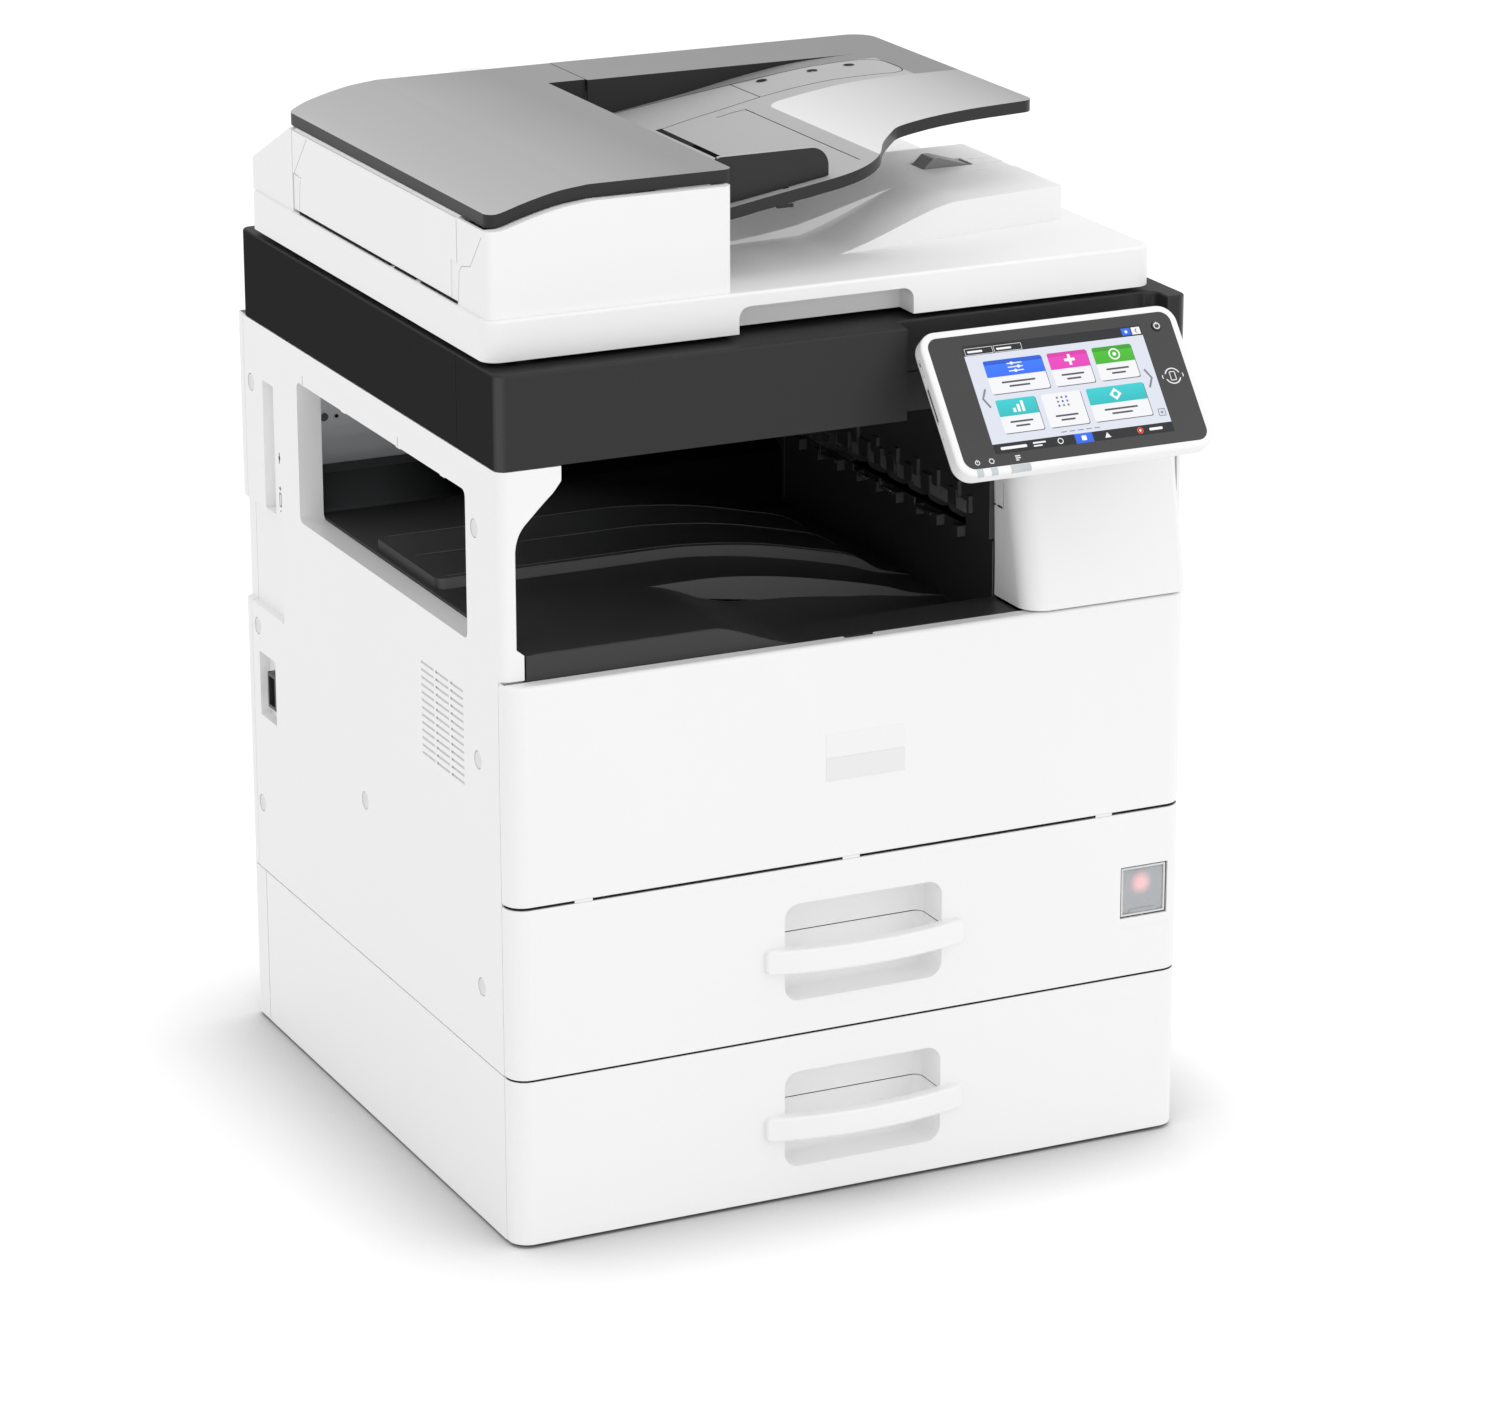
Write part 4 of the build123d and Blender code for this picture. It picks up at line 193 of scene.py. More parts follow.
class Finish(Nodes):
    def __init__(self, name, color, roughness, metallic=0.0, **fixed):
        self.material = bpy.data.materials.new(name)
        self.material.use_nodes = True
        super().__init__(self.material.node_tree)
        self.shader = self.tree.nodes["Principled BSDF"]
        self.drive(Base_Color=color, Roughness=roughness, Metallic=metallic, **fixed)
        self.material.diffuse_color = (*color, 1)

    def drive(self, **sockets):
        for key, value in sockets.items():
            self.feed(self.shader.inputs[key.replace("_", " ")], value)

    def bump(self, height, distance, strength):  # distance in millimetres
        self.drive(Normal=self.node("ShaderNodeBump", inputs={"Height": height, "Distance": distance * mm,
                                                              "Strength": strength}))


def shade(color, factor):  # a darker or lighter version of a colour
    return tuple(min(1.0, part * factor) for part in color)


def shades(color, factors):
    return [shade(color, factor) for factor in factors]


# Noises are given as scale and detail. A cloud is a wide one, a speck is the grain of the mould,
# and lines are a noise that is stretched along one axis. Bumps are height in mm and strength.
moulding = dict(cloud=(7.0, 3.0), detail=1.0, cloudRough=0.10, speckRough=0.05, strength=0.6)
brushing = dict(cloud=(11.0, 3.0), lines=(4.0, 4.0), stretch=(3.0, 260.0), shades=(0.92, 1.05),
                cloudRough=0.06, bump=(0.01, 0.5))
coating = dict(cloud=(9.0, 3.0), lines=(6.0, 2.0), stretch=(2.0, 120.0), shades=(0.93, 1.05), lineRough=0.06,
               bump=(0.004, 0.4), coat=0.35, coatRough=0.12)
black, bright = (0.0, 0.0, 0.0), (1.0, 1.0, 1.0)


def lined(made, kind, axis):
    along, across = kind["stretch"]
    return made.noise(*kind["lines"], [along if one == axis else across for one in "xyz"])


def plastic(name, color, roughness, drift, grain, height, **fixed):
    made = Finish(name, color, roughness, **fixed)
    cloud, speck = made.noise(*moulding["cloud"]), made.noise(float(grain), moulding["detail"])
    made.drive(Base_Color=made.mix(cloud, *shades(color, (1 - drift, 1 + drift))),
               Roughness=(roughness + (cloud - 0.5) * moulding["cloudRough"]
                          + (speck - 0.5) * moulding["speckRough"]))
    made.bump(speck, height, moulding["strength"])
    return made


def brushed(name, color, roughness, along, streak=0.16):
    made = Finish(name, color, roughness, metallic=1.0)
    brush, cloud = lined(made, brushing, along), made.noise(*brushing["cloud"])
    made.drive(Base_Color=made.mix(cloud, *shades(color, brushing["shades"])),
               Roughness=roughness + (brush - 0.5) * streak + (cloud - 0.5) * brushing["cloudRough"])
    made.bump(brush, *brushing["bump"])
    return made


def coated(name, color, roughness, along):  # painted or coated metal with a gloss skin
    made = Finish(name, color, roughness, Coat_Weight=coating["coat"], Coat_Roughness=coating["coatRough"])
    cloud, fine = made.noise(*coating["cloud"]), lined(made, coating, along)
    made.drive(Base_Color=made.mix(cloud, *shades(color, coating["shades"])),
               Roughness=roughness + (fine - 0.5) * coating["lineRough"])
    made.bump(fine, *coating["bump"])
    return made


# Moulded plastics: base colour, roughness, how far the colour drifts, grain per metre and its height in mm.
plastics = {
    "white_cover": dict(color=(0.875, 0.875, 0.875), roughness=0.40, drift=0.012, grain=1500, height=0.010),
    "drawer_grey": dict(color=(0.30, 0.30, 0.31), roughness=0.45, drift=0.06, grain=1200, height=0.012),
    "guide_plastic": dict(color=(0.30, 0.36, 0.44), roughness=0.40, drift=0.05, grain=1400, height=0.010),
    "stopper_grey": dict(color=(0.26, 0.26, 0.26), roughness=0.45, drift=0.05, grain=1400, height=0.010),
    "unit_black": dict(color=(0.028, 0.028, 0.030), roughness=0.42, drift=0.10, grain=1500, height=0.012),
    "switch_white": dict(color=(0.68, 0.68, 0.69), roughness=0.25, drift=0.01, grain=1500, height=0.004),
    "pad_white": dict(color=(0.90, 0.90, 0.89), roughness=0.55, drift=0.02, grain=900, height=0.020),
    "foot_rubber": dict(color=(0.018, 0.018, 0.018), roughness=0.75, drift=0.15, grain=900, height=0.020),
    "roller_rubber": dict(color=(0.045, 0.045, 0.048), roughness=0.70, drift=0.15, grain=1100, height=0.020),
}
finishes = {name: plastic(name, **values) for name, values in plastics.items()}

# Inside the drawers' finger recesses the white moulding is painted lighter: painted light that offsets the
# shade in the recesses.
recess = dict(color=(0.96, 0.96, 0.96), x=(-63.0, 76.0), depth=(1.5, 41.0), top=245.0, soft=1.0)
whiteCover = finishes["white_cover"]
x, y, z = whiteCover.coordinates("Object")
soft = recess["soft"] * mm
# Mask of the finger recesses, where painted light lifts the white.
inside = (x.between(*inMetres(recess["x"]), soft) * z.below(recess["top"] * mm, soft)
          * (y - frontFace).between(*inMetres(recess["depth"]), soft))
color, drift = plastics["white_cover"]["color"], plastics["white_cover"]["drift"]
outside = whiteCover.mix(whiteCover.noise(*moulding["cloud"]), *shades(color, (1 - drift, 1 + drift)))
whiteCover.drive(Base_Color=whiteCover.mix(inside, outside, recess["color"]))

finishes["zinc_sheet"] = brushed("zinc_sheet", (0.62, 0.63, 0.65), 0.34, "x")
finishes["lift_steel"] = brushed("lift_steel", (0.60, 0.61, 0.62), 0.28, "y")
finishes["rod_steel"] = brushed("rod_steel", (0.74, 0.75, 0.77), 0.16, "x", 0.08)
finishes["screw_white"] = coated("screw_white", (0.74, 0.74, 0.75), 0.38, "y")
finishes["drum_coat"] = coated("drum_coat", (0.05, 0.22, 0.21), 0.14, "y")
finishes["fuser_coat"] = coated("fuser_coat", (0.22, 0.075, 0.03), 0.20, "y")

# Scanner housing: matt on its sides, a satin skin on its front, top and rounded corners.
housing = dict(color=(0.0245, 0.0245, 0.025), roughness=0.55, skin=0.30, front=0.42, top=0.30, corner=0.80,
               facing=(0.2, 1.0), cloud=(5.0, 3.0), grain=1900.0, shades=(0.88, 1.12), drift=0.1,
               bump=(0.010, 0.6))
box = Finish("black_cover", housing["color"], housing["roughness"], Specular_IOR_Level=0.0,
             Coat_Roughness=housing["skin"])
across, along, up = box.coordinates("Normal")
cloud, speck = box.noise(*housing["cloud"]), box.noise(housing["grain"], moulding["detail"])
low, high = housing["facing"]
corner = (across * along) * (across * along) * 4.0      # 1 half way round an upright corner
box.drive(Base_Color=box.mix(speck, *shades(housing["color"], housing["shades"])),
          Roughness=housing["roughness"] + (cloud - 0.5) * housing["drift"],
          Coat_Weight=(along.ramp(-low, -high) * housing["front"] + up.ramp(low, high) * housing["top"]
                       + corner * housing["corner"]).clamped())
box.bump(speck, *housing["bump"])
finishes["black_cover"] = box

# Exit tray and the wall beside it, with painted light: faces turned to the front are painted lighter, more so
# deeper in, and faces turned to the left are painted darker.
tray = dict(color=(0.034, 0.034, 0.0345), step=(0.039, 0.039, 0.0395), inner=(0.125, 0.125, 0.127),
            wall=(0.027, 0.027, 0.0273), depth=(30.0, 130.0), facing=(-0.5, -0.95), roughness=0.40,
            specular=0.30, grain=1800.0, pores=0.25, pore=0.5, cloudRough=0.12, bump=(0.008, 0.6))
dim = Finish("tray_black", tray["color"], tray["roughness"], Specular_IOR_Level=tray["specular"])
across, along = (side.ramp(*tray["facing"]) for side in dim.coordinates("Normal")[:2])
inside = (dim.coordinates("Object")[1] - frontFace).ramp(*inMetres(tray["depth"]))
cloud, speck = dim.noise(*moulding["cloud"]), dim.noise(tray["grain"], moulding["detail"])
# Painted light and shade by facing: front faces lighter, deeper ones lighter still, left-facing faces darker.
tone = dim.mix(along, dim.mix(across, tray["color"], tray["wall"]),
               dim.mix(inside, tray["step"], tray["inner"]))
dim.drive(Base_Color=dim.mix(speck * tray["pores"], tone, shade(tray["wall"], tray["pore"])),
          Roughness=(tray["roughness"] + (cloud - 0.5) * tray["cloudRough"]
                     + (speck - 0.5) * moulding["speckRough"]))
dim.bump(speck, *tray["bump"])
finishes["tray_black"] = dim

# The slope behind the tray is painted dark grey, with painted shade darkening it away from the side window.
slope = dict(color=(0.060, 0.063, 0.065), dark=(0.0022, 0.0022, 0.0023), x=(-215.0, -150.0), specular=0.10,
             roughness=0.46, drift=0.1)
slopePaintAndShade = Finish("rear_wall_grey", slope["color"], slope["roughness"], Specular_IOR_Level=slope["specular"])
# Painted shade: the grey darkens to near-black away from the side window.
away = slopePaintAndShade.coordinates("Object")[0].ramp(*inMetres(slope["x"]))
fine = lined(slopePaintAndShade, coating, "x")
slopePaintAndShade.drive(Base_Color=slopePaintAndShade.mix(away, slope["color"], slope["dark"]),
            Roughness=slope["roughness"] + fine * slope["drift"])
slopePaintAndShade.bump(fine, *coating["bump"])
finishes["rear_wall_grey"] = slopePaintAndShade

# Lid and hopper of the feeder: grained near-black plastic with painted light by facing. Faces turning up are
# painted as a grey sheen that falls off across the lid, the rim stays near-black, faces turning down are
# painted lighter, and the polished inlay patch is painted paler still, a painted highlight fading along it.
feederTop = dict(lid=0.43, fall=0.18, fallX=(-270.0, -110.0), far=0.035, farX=(-60.0, 200.0), roughness=0.48,
                 grain=1700.0, grainTone=(0.92, 0.16), cloud=(6.0, 3.0), cloudRough=0.08, bump=(0.012, 0.6),
                 rim=(0.016, 0.016, 0.0165), under=(0.42, 0.42, 0.42), upward=0.80, downward=-0.70, soft=0.06,
                 tray=0.415, trayX=(-80.0, 200.0), trayDepth=392.0, narrower=18.0, narrowX=(20.0, 90.0),
                 trayBlur=(1.0, 2.0), patch=(0.76, 0.29), patchX=(66.0, 240.0), patchDepth=302.0, corner=13.0,
                 patchBlur=0.4, polish=0.14, plain=(0.40, 0.40, 0.40), specular=0.35)
grey = Finish("feeder_grey", feederTop["plain"], feederTop["roughness"],
              Specular_IOR_Level=feederTop["specular"])
up = grey.coordinates("Normal")[2]
x, y = grey.coordinates("Object")[:2]
depth = y - frontFace
speck, cloud = grey.noise(feederTop["grain"], moulding["detail"]), grey.noise(*feederTop["cloud"])
# Painted sheen: the grey of the lid's top, falling off across the lid to the right.
lidSheen = (feederTop["lid"] - x.ramp(*inMetres(feederTop["fallX"])) * feederTop["fall"]
           - x.ramp(*inMetres(feederTop["farX"])) * feederTop["far"])
narrowed = depth + x.ramp(*inMetres(feederTop["narrowX"])) * (feederTop["narrower"] * mm)
blurX, blurDepth = inMetres(feederTop["trayBlur"])
inTray = (x.between(*inMetres(feederTop["trayX"]), blurX)
          * narrowed.below(feederTop["trayDepth"] * mm, blurDepth))
# The patch's outline is a corner circle pushed out along both sides: distances from its centre, cut off at 0.
cornerX = (feederTop["patchX"][0] + feederTop["corner"]) * mm
cornerDepth = (feederTop["patchDepth"] - feederTop["corner"]) * mm
aside, behind = (cornerX - x).calc("MAXIMUM", 0.0), (depth - cornerDepth).calc("MAXIMUM", 0.0)
inPatch = (aside * aside + behind * behind).calc("SQRT").below(feederTop["corner"] * mm,
                                                               feederTop["patchBlur"] * mm)
near, far = feederTop["patch"]
# Painted highlight: the patch is palest at its left side and fades along it.
patchSheen = near + x.ramp(*inMetres(feederTop["patchX"])) * (far - near)
least, more = feederTop["grainTone"]
tone = lidSheen + inTray * (feederTop["tray"] - lidSheen)
tone = (tone + inPatch * (patchSheen - tone)) * (least + speck * more)
top = grey.node("ShaderNodeCombineXYZ", inputs={0: tone, 1: tone, 2: tone})
# Painted light by facing: sides keep the near-black plastic, faces turning down are painted lighter, faces
# turning up take the painted sheen.
sides = grey.mix(up.below(feederTop["downward"], feederTop["soft"]), feederTop["rim"], feederTop["under"])
grey.drive(Base_Color=grey.mix(up.above(feederTop["upward"], feederTop["soft"]), sides, top),
           Roughness=(feederTop["roughness"] - inPatch * feederTop["polish"]
                      + (cloud - 0.5) * feederTop["cloudRough"]))
grey.bump(speck, *feederTop["bump"])
finishes["feeder_grey"] = grey

platen = dict(color=(0.88, 0.95, 0.94), clear=0.9, bend=1.50, roughness=0.02, smear=(14.0, 3.0),
              smearRough=0.03)
glass = Finish("platen_glass", platen["color"], platen["roughness"], Transmission_Weight=platen["clear"],
               IOR=platen["bend"])
glass.drive(Roughness=platen["roughness"] + glass.noise(*platen["smear"]) * platen["smearRough"])
finishes["platen_glass"] = glass

panelGlass = dict(color=(0.028, 0.028, 0.0295), roughness=0.20, coat=0.15, coatRough=0.10, smear=(16.0, 4.0),
                  shades=(0.9, 1.1), smearRough=0.10)
screen = Finish("screen_glass", panelGlass["color"], panelGlass["roughness"], Coat_Weight=panelGlass["coat"],
                Coat_Roughness=panelGlass["coatRough"])
smear = screen.noise(*panelGlass["smear"])
screen.drive(Base_Color=screen.mix(smear, *shades(panelGlass["color"], panelGlass["shades"])),
             Roughness=panelGlass["roughness"] + (smear - 0.5) * panelGlass["smearRough"])
finishes["screen_glass"] = screen

# Sleep key: a pale ring with a bar at its top, printed on a dark cap.
sleep = dict(at=(91.8, 43.4), ring=(1.9, 2.8), bar=(0.35, 1.0, 3.4), soft=0.25, print=(0.78, 0.78, 0.79),
             coat=0.1, roughness=0.26, grain=300.0, drift=0.05)
key = Finish("key_white", panelGlass["color"], sleep["roughness"], Coat_Weight=sleep["coat"])
x, y, z = key.coordinates("Object")
centre = onPanel(*sleep["at"], 0.0)
right = x - float(centre[0])
rise = (y - float(centre[1])) * panelSin + (z - float(centre[2])) * panelCos
away = (right * right + rise * rise).calc("SQRT")
barHalf, barLow, barHigh = inMetres(sleep["bar"])
soft = sleep["soft"] * mm
bar = right.between(-barHalf, barHalf, soft) * rise.between(barLow, barHigh, soft)
ring = away.between(*inMetres(sleep["ring"]), soft)
key.drive(Base_Color=key.mix(bar.calc("MAXIMUM", ring), panelGlass["color"], sleep["print"]),
          Roughness=sleep["roughness"] + key.noise(sleep["grain"]) * sleep["drift"])
finishes["key_white"] = key

# Clear flap over the main switch. The red glow of the switch's lamp is painted into the flap as its own
# emission round the lamp's place, where the flap is also less clear.
lamp = dict(x=256.5, z=217.5, radius=7.0, spread=7.0, tone=(1.0, 0.10, 0.12), glow=0.40)
clear = dict(color=(0.57, 0.595, 0.615), shades=(0.92, 1.08), frost=(300.0, 2.0), frostRough=0.1,
             roughness=0.26, alpha=0.62, lit=0.26)
flap = Finish("flap_clear", clear["color"], clear["roughness"], Alpha=clear["alpha"],
              Emission_Strength=lamp["glow"])
x, y, z = flap.coordinates("Object")
right, rise = x - lamp["x"] * mm, z - lamp["z"] * mm
# Painted glow: a disc round the lamp's place that fades outward.
glow = (right * right + rise * rise).calc("SQRT").below(lamp["radius"] * mm, lamp["spread"] * mm)
frost = flap.noise(*clear["frost"])
flap.drive(Base_Color=flap.mix(frost, *shades(clear["color"], clear["shades"])),
           Emission_Color=flap.mix(glow, black, lamp["tone"]),
           Alpha=clear["alpha"] + glow * clear["lit"],
           Roughness=clear["roughness"] + frost * clear["frostRough"])
finishes["flap_clear"] = flap

for name, piece in nodes.items():
    piece.data.materials.clear()
    piece.data.materials.append(finishes[slotOf[name]].material)
print("finishes made:", len(finishes))


def roundEdges(piece, width, angle=40, segments=2):
    bevel = piece.modifiers.new("bevel", "BEVEL")
    bevel.width, bevel.segments = width * mm, segments
    bevel.limit_method, bevel.angle_limit = "ANGLE", math.radians(angle)


# Every moulded and folded edge is rounded a little.
edges = dict(weld=0.002, width=0.45, angle=28, weight=80, sharp=("scan_rods", "platen_pad"))
for name, piece in nodes.items():
    piece.data.polygons.foreach_set("use_smooth", np.ones(len(piece.data.polygons), bool))
    weld = piece.modifiers.new("weld", "WELD")
    weld.merge_threshold = edges["weld"] * mm
    if name not in edges["sharp"]:
        roundEdges(piece, edges["width"], edges["angle"])
    even = piece.modifiers.new("even", "WEIGHTED_NORMAL")
    even.keep_sharp, even.weight = True, edges["weight"]
print("edges rounded")


# Outlines run once round, against the clock. A rectangle's corners are quarter circles, or points.
def rectangle(left, right, low, high, radius=0.0, steps=5):
    corners = [(right - radius, high - radius, 0), (left + radius, high - radius, 90),
               (left + radius, low + radius, 180), (right - radius, low + radius, 270)]
    turn = np.linspace(0, math.pi / 2, steps + 1 if radius else 1)
    return np.concatenate([np.stack([x + radius * np.cos(turn + math.radians(start)),
                                     y + radius * np.sin(turn + math.radians(start))], 1)
                           for x, y, start in corners])


def circle(x, y, radius, steps=24):  # points evenly round it
    turn = np.arange(steps) / steps * 2 * math.pi
    return np.stack([x + radius * np.cos(turn), y + radius * np.sin(turn)], 1)


def arc(x, y, radius, start, end, count):  # points evenly from one angle to another, in degrees
    turn = np.radians(np.linspace(start, end, count))
    return np.stack([x + radius * np.cos(turn), y + radius * np.sin(turn)], 1)


def evenly(line, count):  # points along a smooth curve: each coordinate is a cubic over the length so far
    line = np.asarray(line, float)
    length = np.concatenate([[0.0], np.cumsum(np.hypot(*np.diff(line, axis=0).T))])
    slope = np.gradient(line, length, axis=0)
    at = np.linspace(0, length[-1], count)
    i = np.clip(np.searchsorted(length, at) - 1, 0, len(length) - 2)
    span = (length[i + 1] - length[i])[:, None]
    t = ((at - length[i])[:, None]) / span
    return (line[i] * (1 + 2 * t) * (1 - t) ** 2 + slope[i] * span * t * (1 - t) ** 2
            + line[i + 1] * t * t * (3 - 2 * t) + slope[i + 1] * span * t * t * (t - 1))


# A Shape gathers the closed solids of one piece. Places turn lengths and heights into points, as above.
class Shape:
    def __init__(self):
        self.points, self.faces, self.kinds, self.count = [], [], [], 0

    def add(self, points, faces, kind):
        # Twice the area of each face times its first point tells whether the faces point inward.
        areas = [np.cross(points[face], np.roll(points[face], -1, 0)).sum(0) for face in faces]
        volume = sum(float(np.dot(points[face[0]], area)) for face, area in zip(faces, areas))
        self.points.append(points)
        self.faces += [(face[::-1] if volume < 0 else face) + self.count for face in faces]
        self.kinds += [kind] * len(faces)
        self.count += len(points)

    def prism(self, place, outline, low, high, kind=0):  # an outline carried from one height to another
        ring = np.arange(len(outline))
        after, rise = np.roll(ring, -1), len(outline)
        points = np.concatenate([place(*outline.T, height) for height in (low, high)])
        sides = np.stack([ring, after, after + rise, ring + rise], 1)
        self.add(points, [*sides, ring[::-1], ring + rise], kind)

    def frame(self, place, outer, inner, low, high, kind=0):  # what lies between two outlines, as a prism
        ring = np.arange(len(outer))
        after, rise = np.roll(ring, -1), len(outer)
        edges = (outer, low), (outer, high), (inner, high), (inner, low)
        points = np.concatenate([place(*line.T, height) for line, height in edges])
        faces = [np.stack([ring + rise * k, after + rise * k, after + rise * m, ring + rise * m], 1)
                 for k, m in ((0, 1), (1, 2), (2, 3), (3, 0))]
        self.add(points, [*np.concatenate(faces)], kind)

    def bar(self, lines, kind=0):  # lines: the bar's edges one after another round it, each as many points
        sides, length = len(lines), len(lines[0])
        along = np.arange(length - 1)
        faces = [np.stack([along + k * length, along + 1 + k * length,
                           along + 1 + (k + 1) % sides * length, along + (k + 1) % sides * length], 1)
                 for k in range(sides)]
        ends = np.arange(sides) * length
        self.add(np.concatenate(lines), [*np.concatenate(faces), ends[::-1], ends + length - 1], kind)

    def stroke(self, place, line, width, low, high, kind=0):  # a line moved half its width to both sides
        line = np.asarray(line, float)
        ahead = np.gradient(line, axis=0)
        side = np.stack([-ahead[:, 1], ahead[:, 0]], 1) / np.hypot(*ahead.T)[:, None] * width / 2
        left, right = line + side, line - side
        edges = (left, low), (right, low), (right, high), (left, high)
        self.bar([place(*edge.T, height) for edge, height in edges], kind)

    def tile(self, place, area, low, high, kind=0, radius=0.0):  # area: left, right, low and high
        self.prism(place, rectangle(*area, radius), low, high, kind)

    def disc(self, place, x, y, radius, low, high, kind=0, steps=24):
        self.prism(place, circle(x, y, radius, steps), low, high, kind)

    def hoop(self, place, x, y, outer, inner, low, high, kind=0, steps=24):
        self.frame(place, circle(x, y, outer, steps), circle(x, y, inner, steps), low, high, kind)

    def rim(self, place, area, width, radii, low, high, kind=0):  # a rectangle's border, of one width
        left, right, bottom, top = area
        inside = rectangle(left + width, right - width, bottom + width, top - width, radii[1])
        self.frame(place, rectangle(*area, radii[0]), inside, low, high, kind)

    def make(self, name, body, finish, edge=0.0):
        mesh = bpy.data.meshes.new(name)
        mesh.from_pydata(np.concatenate(self.points).tolist(), [], [face.tolist() for face in self.faces])
        mesh.polygons.foreach_set("material_index", np.asarray(self.kinds, np.int32))
        for one in finish if isinstance(finish, list) else [finish]:
            mesh.materials.append(one.material)
        piece = bpy.data.objects.new(name, mesh)
        bpy.context.scene.collection.objects.link(piece)
        if edge:
            roundEdges(piece, edge)
        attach(piece, body)


# Display of the operation panel, lit from behind: a plain start page of six cards in two staggered rows.
# Its layers rise one step each. Coloured fields grow lighter upward, and start again after every period.
display = dict(left=-77.8, right=77.8, low=-45.4, high=46.0, headBar=8.4, footBar=8.2, sunk=-0.2, step=0.05)
backlight = dict(glow=0.70, period=28.0, lighter=1.9, own=(0.3, 0.57), specular=0.2, roughness=0.33,
                 grain=60.0, drift=0.04)


def lit(name, color, fade):
    made = Finish(name, color, backlight["roughness"], Emission_Strength=backlight["glow"],
                  Specular_IOR_Level=backlight["specular"])
    x, y, z = made.coordinates("Object")
    rise = (y - (frontFace + panelFace["depth"] * mm)) * panelSin + (z - panelFace["z"] * mm) * panelCos
    share = (rise / (backlight["period"] * mm)).calc("FRACT") * fade
    made.drive(Base_Color=made.mix(share, *shades(color, backlight["own"])),
               Emission_Color=made.mix(share, color, shade(color, backlight["lighter"])),
               Roughness=backlight["roughness"] + made.noise(backlight["grain"]) * backlight["drift"])
    return made


displayTones = [  # name, colour and how strongly it fades
    ("page", (0.74, 0.77, 0.86), 0), ("bars", (0.030, 0.031, 0.034), 0), ("card", (0.90, 0.90, 0.92), 0),
    ("blue", (0.030, 0.115, 0.66), 0.9), ("green", (0.055, 0.37, 0.030), 0.5),
    ("magenta", (0.72, 0.055, 0.42), 0.3), ("cyan", (0.035, 0.42, 0.44), 0.6),
    ("shadow", (0.17, 0.18, 0.21), 0), ("text", (0.10, 0.10, 0.12), 0), ("white", (0.93, 0.93, 0.94), 0),
    ("red", (0.80, 0.10, 0.05), 0), ("outline", (0.24, 0.25, 0.29), 0)]
page, bars, card, blue, green, magenta, cyan, shadow, text, white, red, outline = range(len(displayTones))
lcd = Shape()
lift = display["step"]
left, right, low, high = (display[side] for side in ("left", "right", "low", "high"))
headLow, footHigh = high - display["headBar"], low + display["footBar"]


def tile(area, level, kind, radius=0.0):
    lcd.tile(onPanel, area, display["sunk"], level * lift, kind, radius)


def disc(x, y, radius, level, kind, steps=16):
    lcd.disc(onPanel, x, y, radius, 0, level * lift, kind, steps)


def hoop(x, y, outer, inner, level, kind):
    lcd.hoop(onPanel, x, y, outer, inner, 0, level * lift, kind)


def drawn(points, level, kind):
    lcd.prism(onPanel, np.array(points), 0, level * lift, kind)


tile((left, right, low, high), 1, page)
tile((left, right, headLow, high), 2, bars)
tile((left, right, low, footHigh), 2, bars)

# A card has a coloured head over two bars of text; the plain one has three rows of three dots.
cards = dict(wide=50.0, narrow=34.0, gap=5.2, head=0.5, radius=1.6, headRadius=1.4,
             shadow=(0.5, 0.6, -0.75, -0.4), lines=((0.58, 4.4), (0.36, 8.0)), line=1.5, lineRadius=0.6,
             dot=1.0, dotX=4.0, dotY=3.4, dotsUp=6.6,
             rows=((3.6, 31.6, ((blue, "wide"), (magenta, "narrow"), (green, "narrow"))),
                   (-29.6, -1.6, ((cyan, "narrow"), (None, "narrow"), (cyan, "wide")))))
for low, high, row in cards["rows"]:
    left = -(cards["wide"] + 2 * cards["narrow"] + 2 * cards["gap"]) / 2
    for tone, width in row:
        right = left + cards[width]
        middle, split = (left + right) / 2, low + (high - low) * cards["head"]
        area = (left, right, low, high)
        tile(np.add(area, cards["shadow"]), 2, shadow, cards["radius"])
        tile(area, 3, card, cards["radius"])
        if tone is None:
            for column in (-1, 0, 1):
                for line in (-1, 0, 1):
                    x, y = middle + cards["dotX"] * column, split + cards["dotsUp"] + cards["dotY"] * line
                    disc(x, y, cards["dot"], 4, blue if column == line else outline, 12)
        else:
            upperCorners = rectangle(left, right, split, high, cards["headRadius"])[:12]
            drawn([*upperCorners, (left, split), (right, split)], 4, tone)
        for share, drop in cards["lines"]:
            tile((*around(middle, (right - left) * share / 2), split - drop - cards["line"], split - drop),
                 4, text, cards["lineRadius"])
        left = right + cards["gap"]

# The signs on the coloured heads: three sliders with a knob each, a plus, a ring, three bars and a rhombus.
signs = dict(slider=(-38.2, 24.6), sliderHalf=(6.5, 0.45), knobs=((3.0, -2.4), (-0.2, 2.8), (-3.4, -0.6)),
             knob=1.35, plus=(9.0, 24.6), arm=(4.6, 1.2), ring=(48.2, 24.6), rings=(4.9, 3.7), core=1.6,
             bars=(-51.4, -13.0), barWide=2.4, barPitch=3.8, barTall=(3.6, 6.4, 9.0),
             rhombus=(38.2, -8.6), reach=5.2, hole=2.0)
x, y = signs["slider"]
long, thin = signs["sliderHalf"]
for level, knob in signs["knobs"]:
    tile((*around(x, long), *around(y + level, thin)), 5, white, 0.4)
    disc(x + knob, y + level, signs["knob"], 6, white)
x, y = signs["plus"]
long, thin = signs["arm"]
tile((*around(x, long), *around(y, thin)), 5, white, 0.5)
tile((*around(x, thin), *around(y, long)), 6, white, 0.5)
hoop(*signs["ring"], *signs["rings"], 5, white)
disc(*signs["ring"], signs["core"], 5, white)
x, y = signs["bars"]
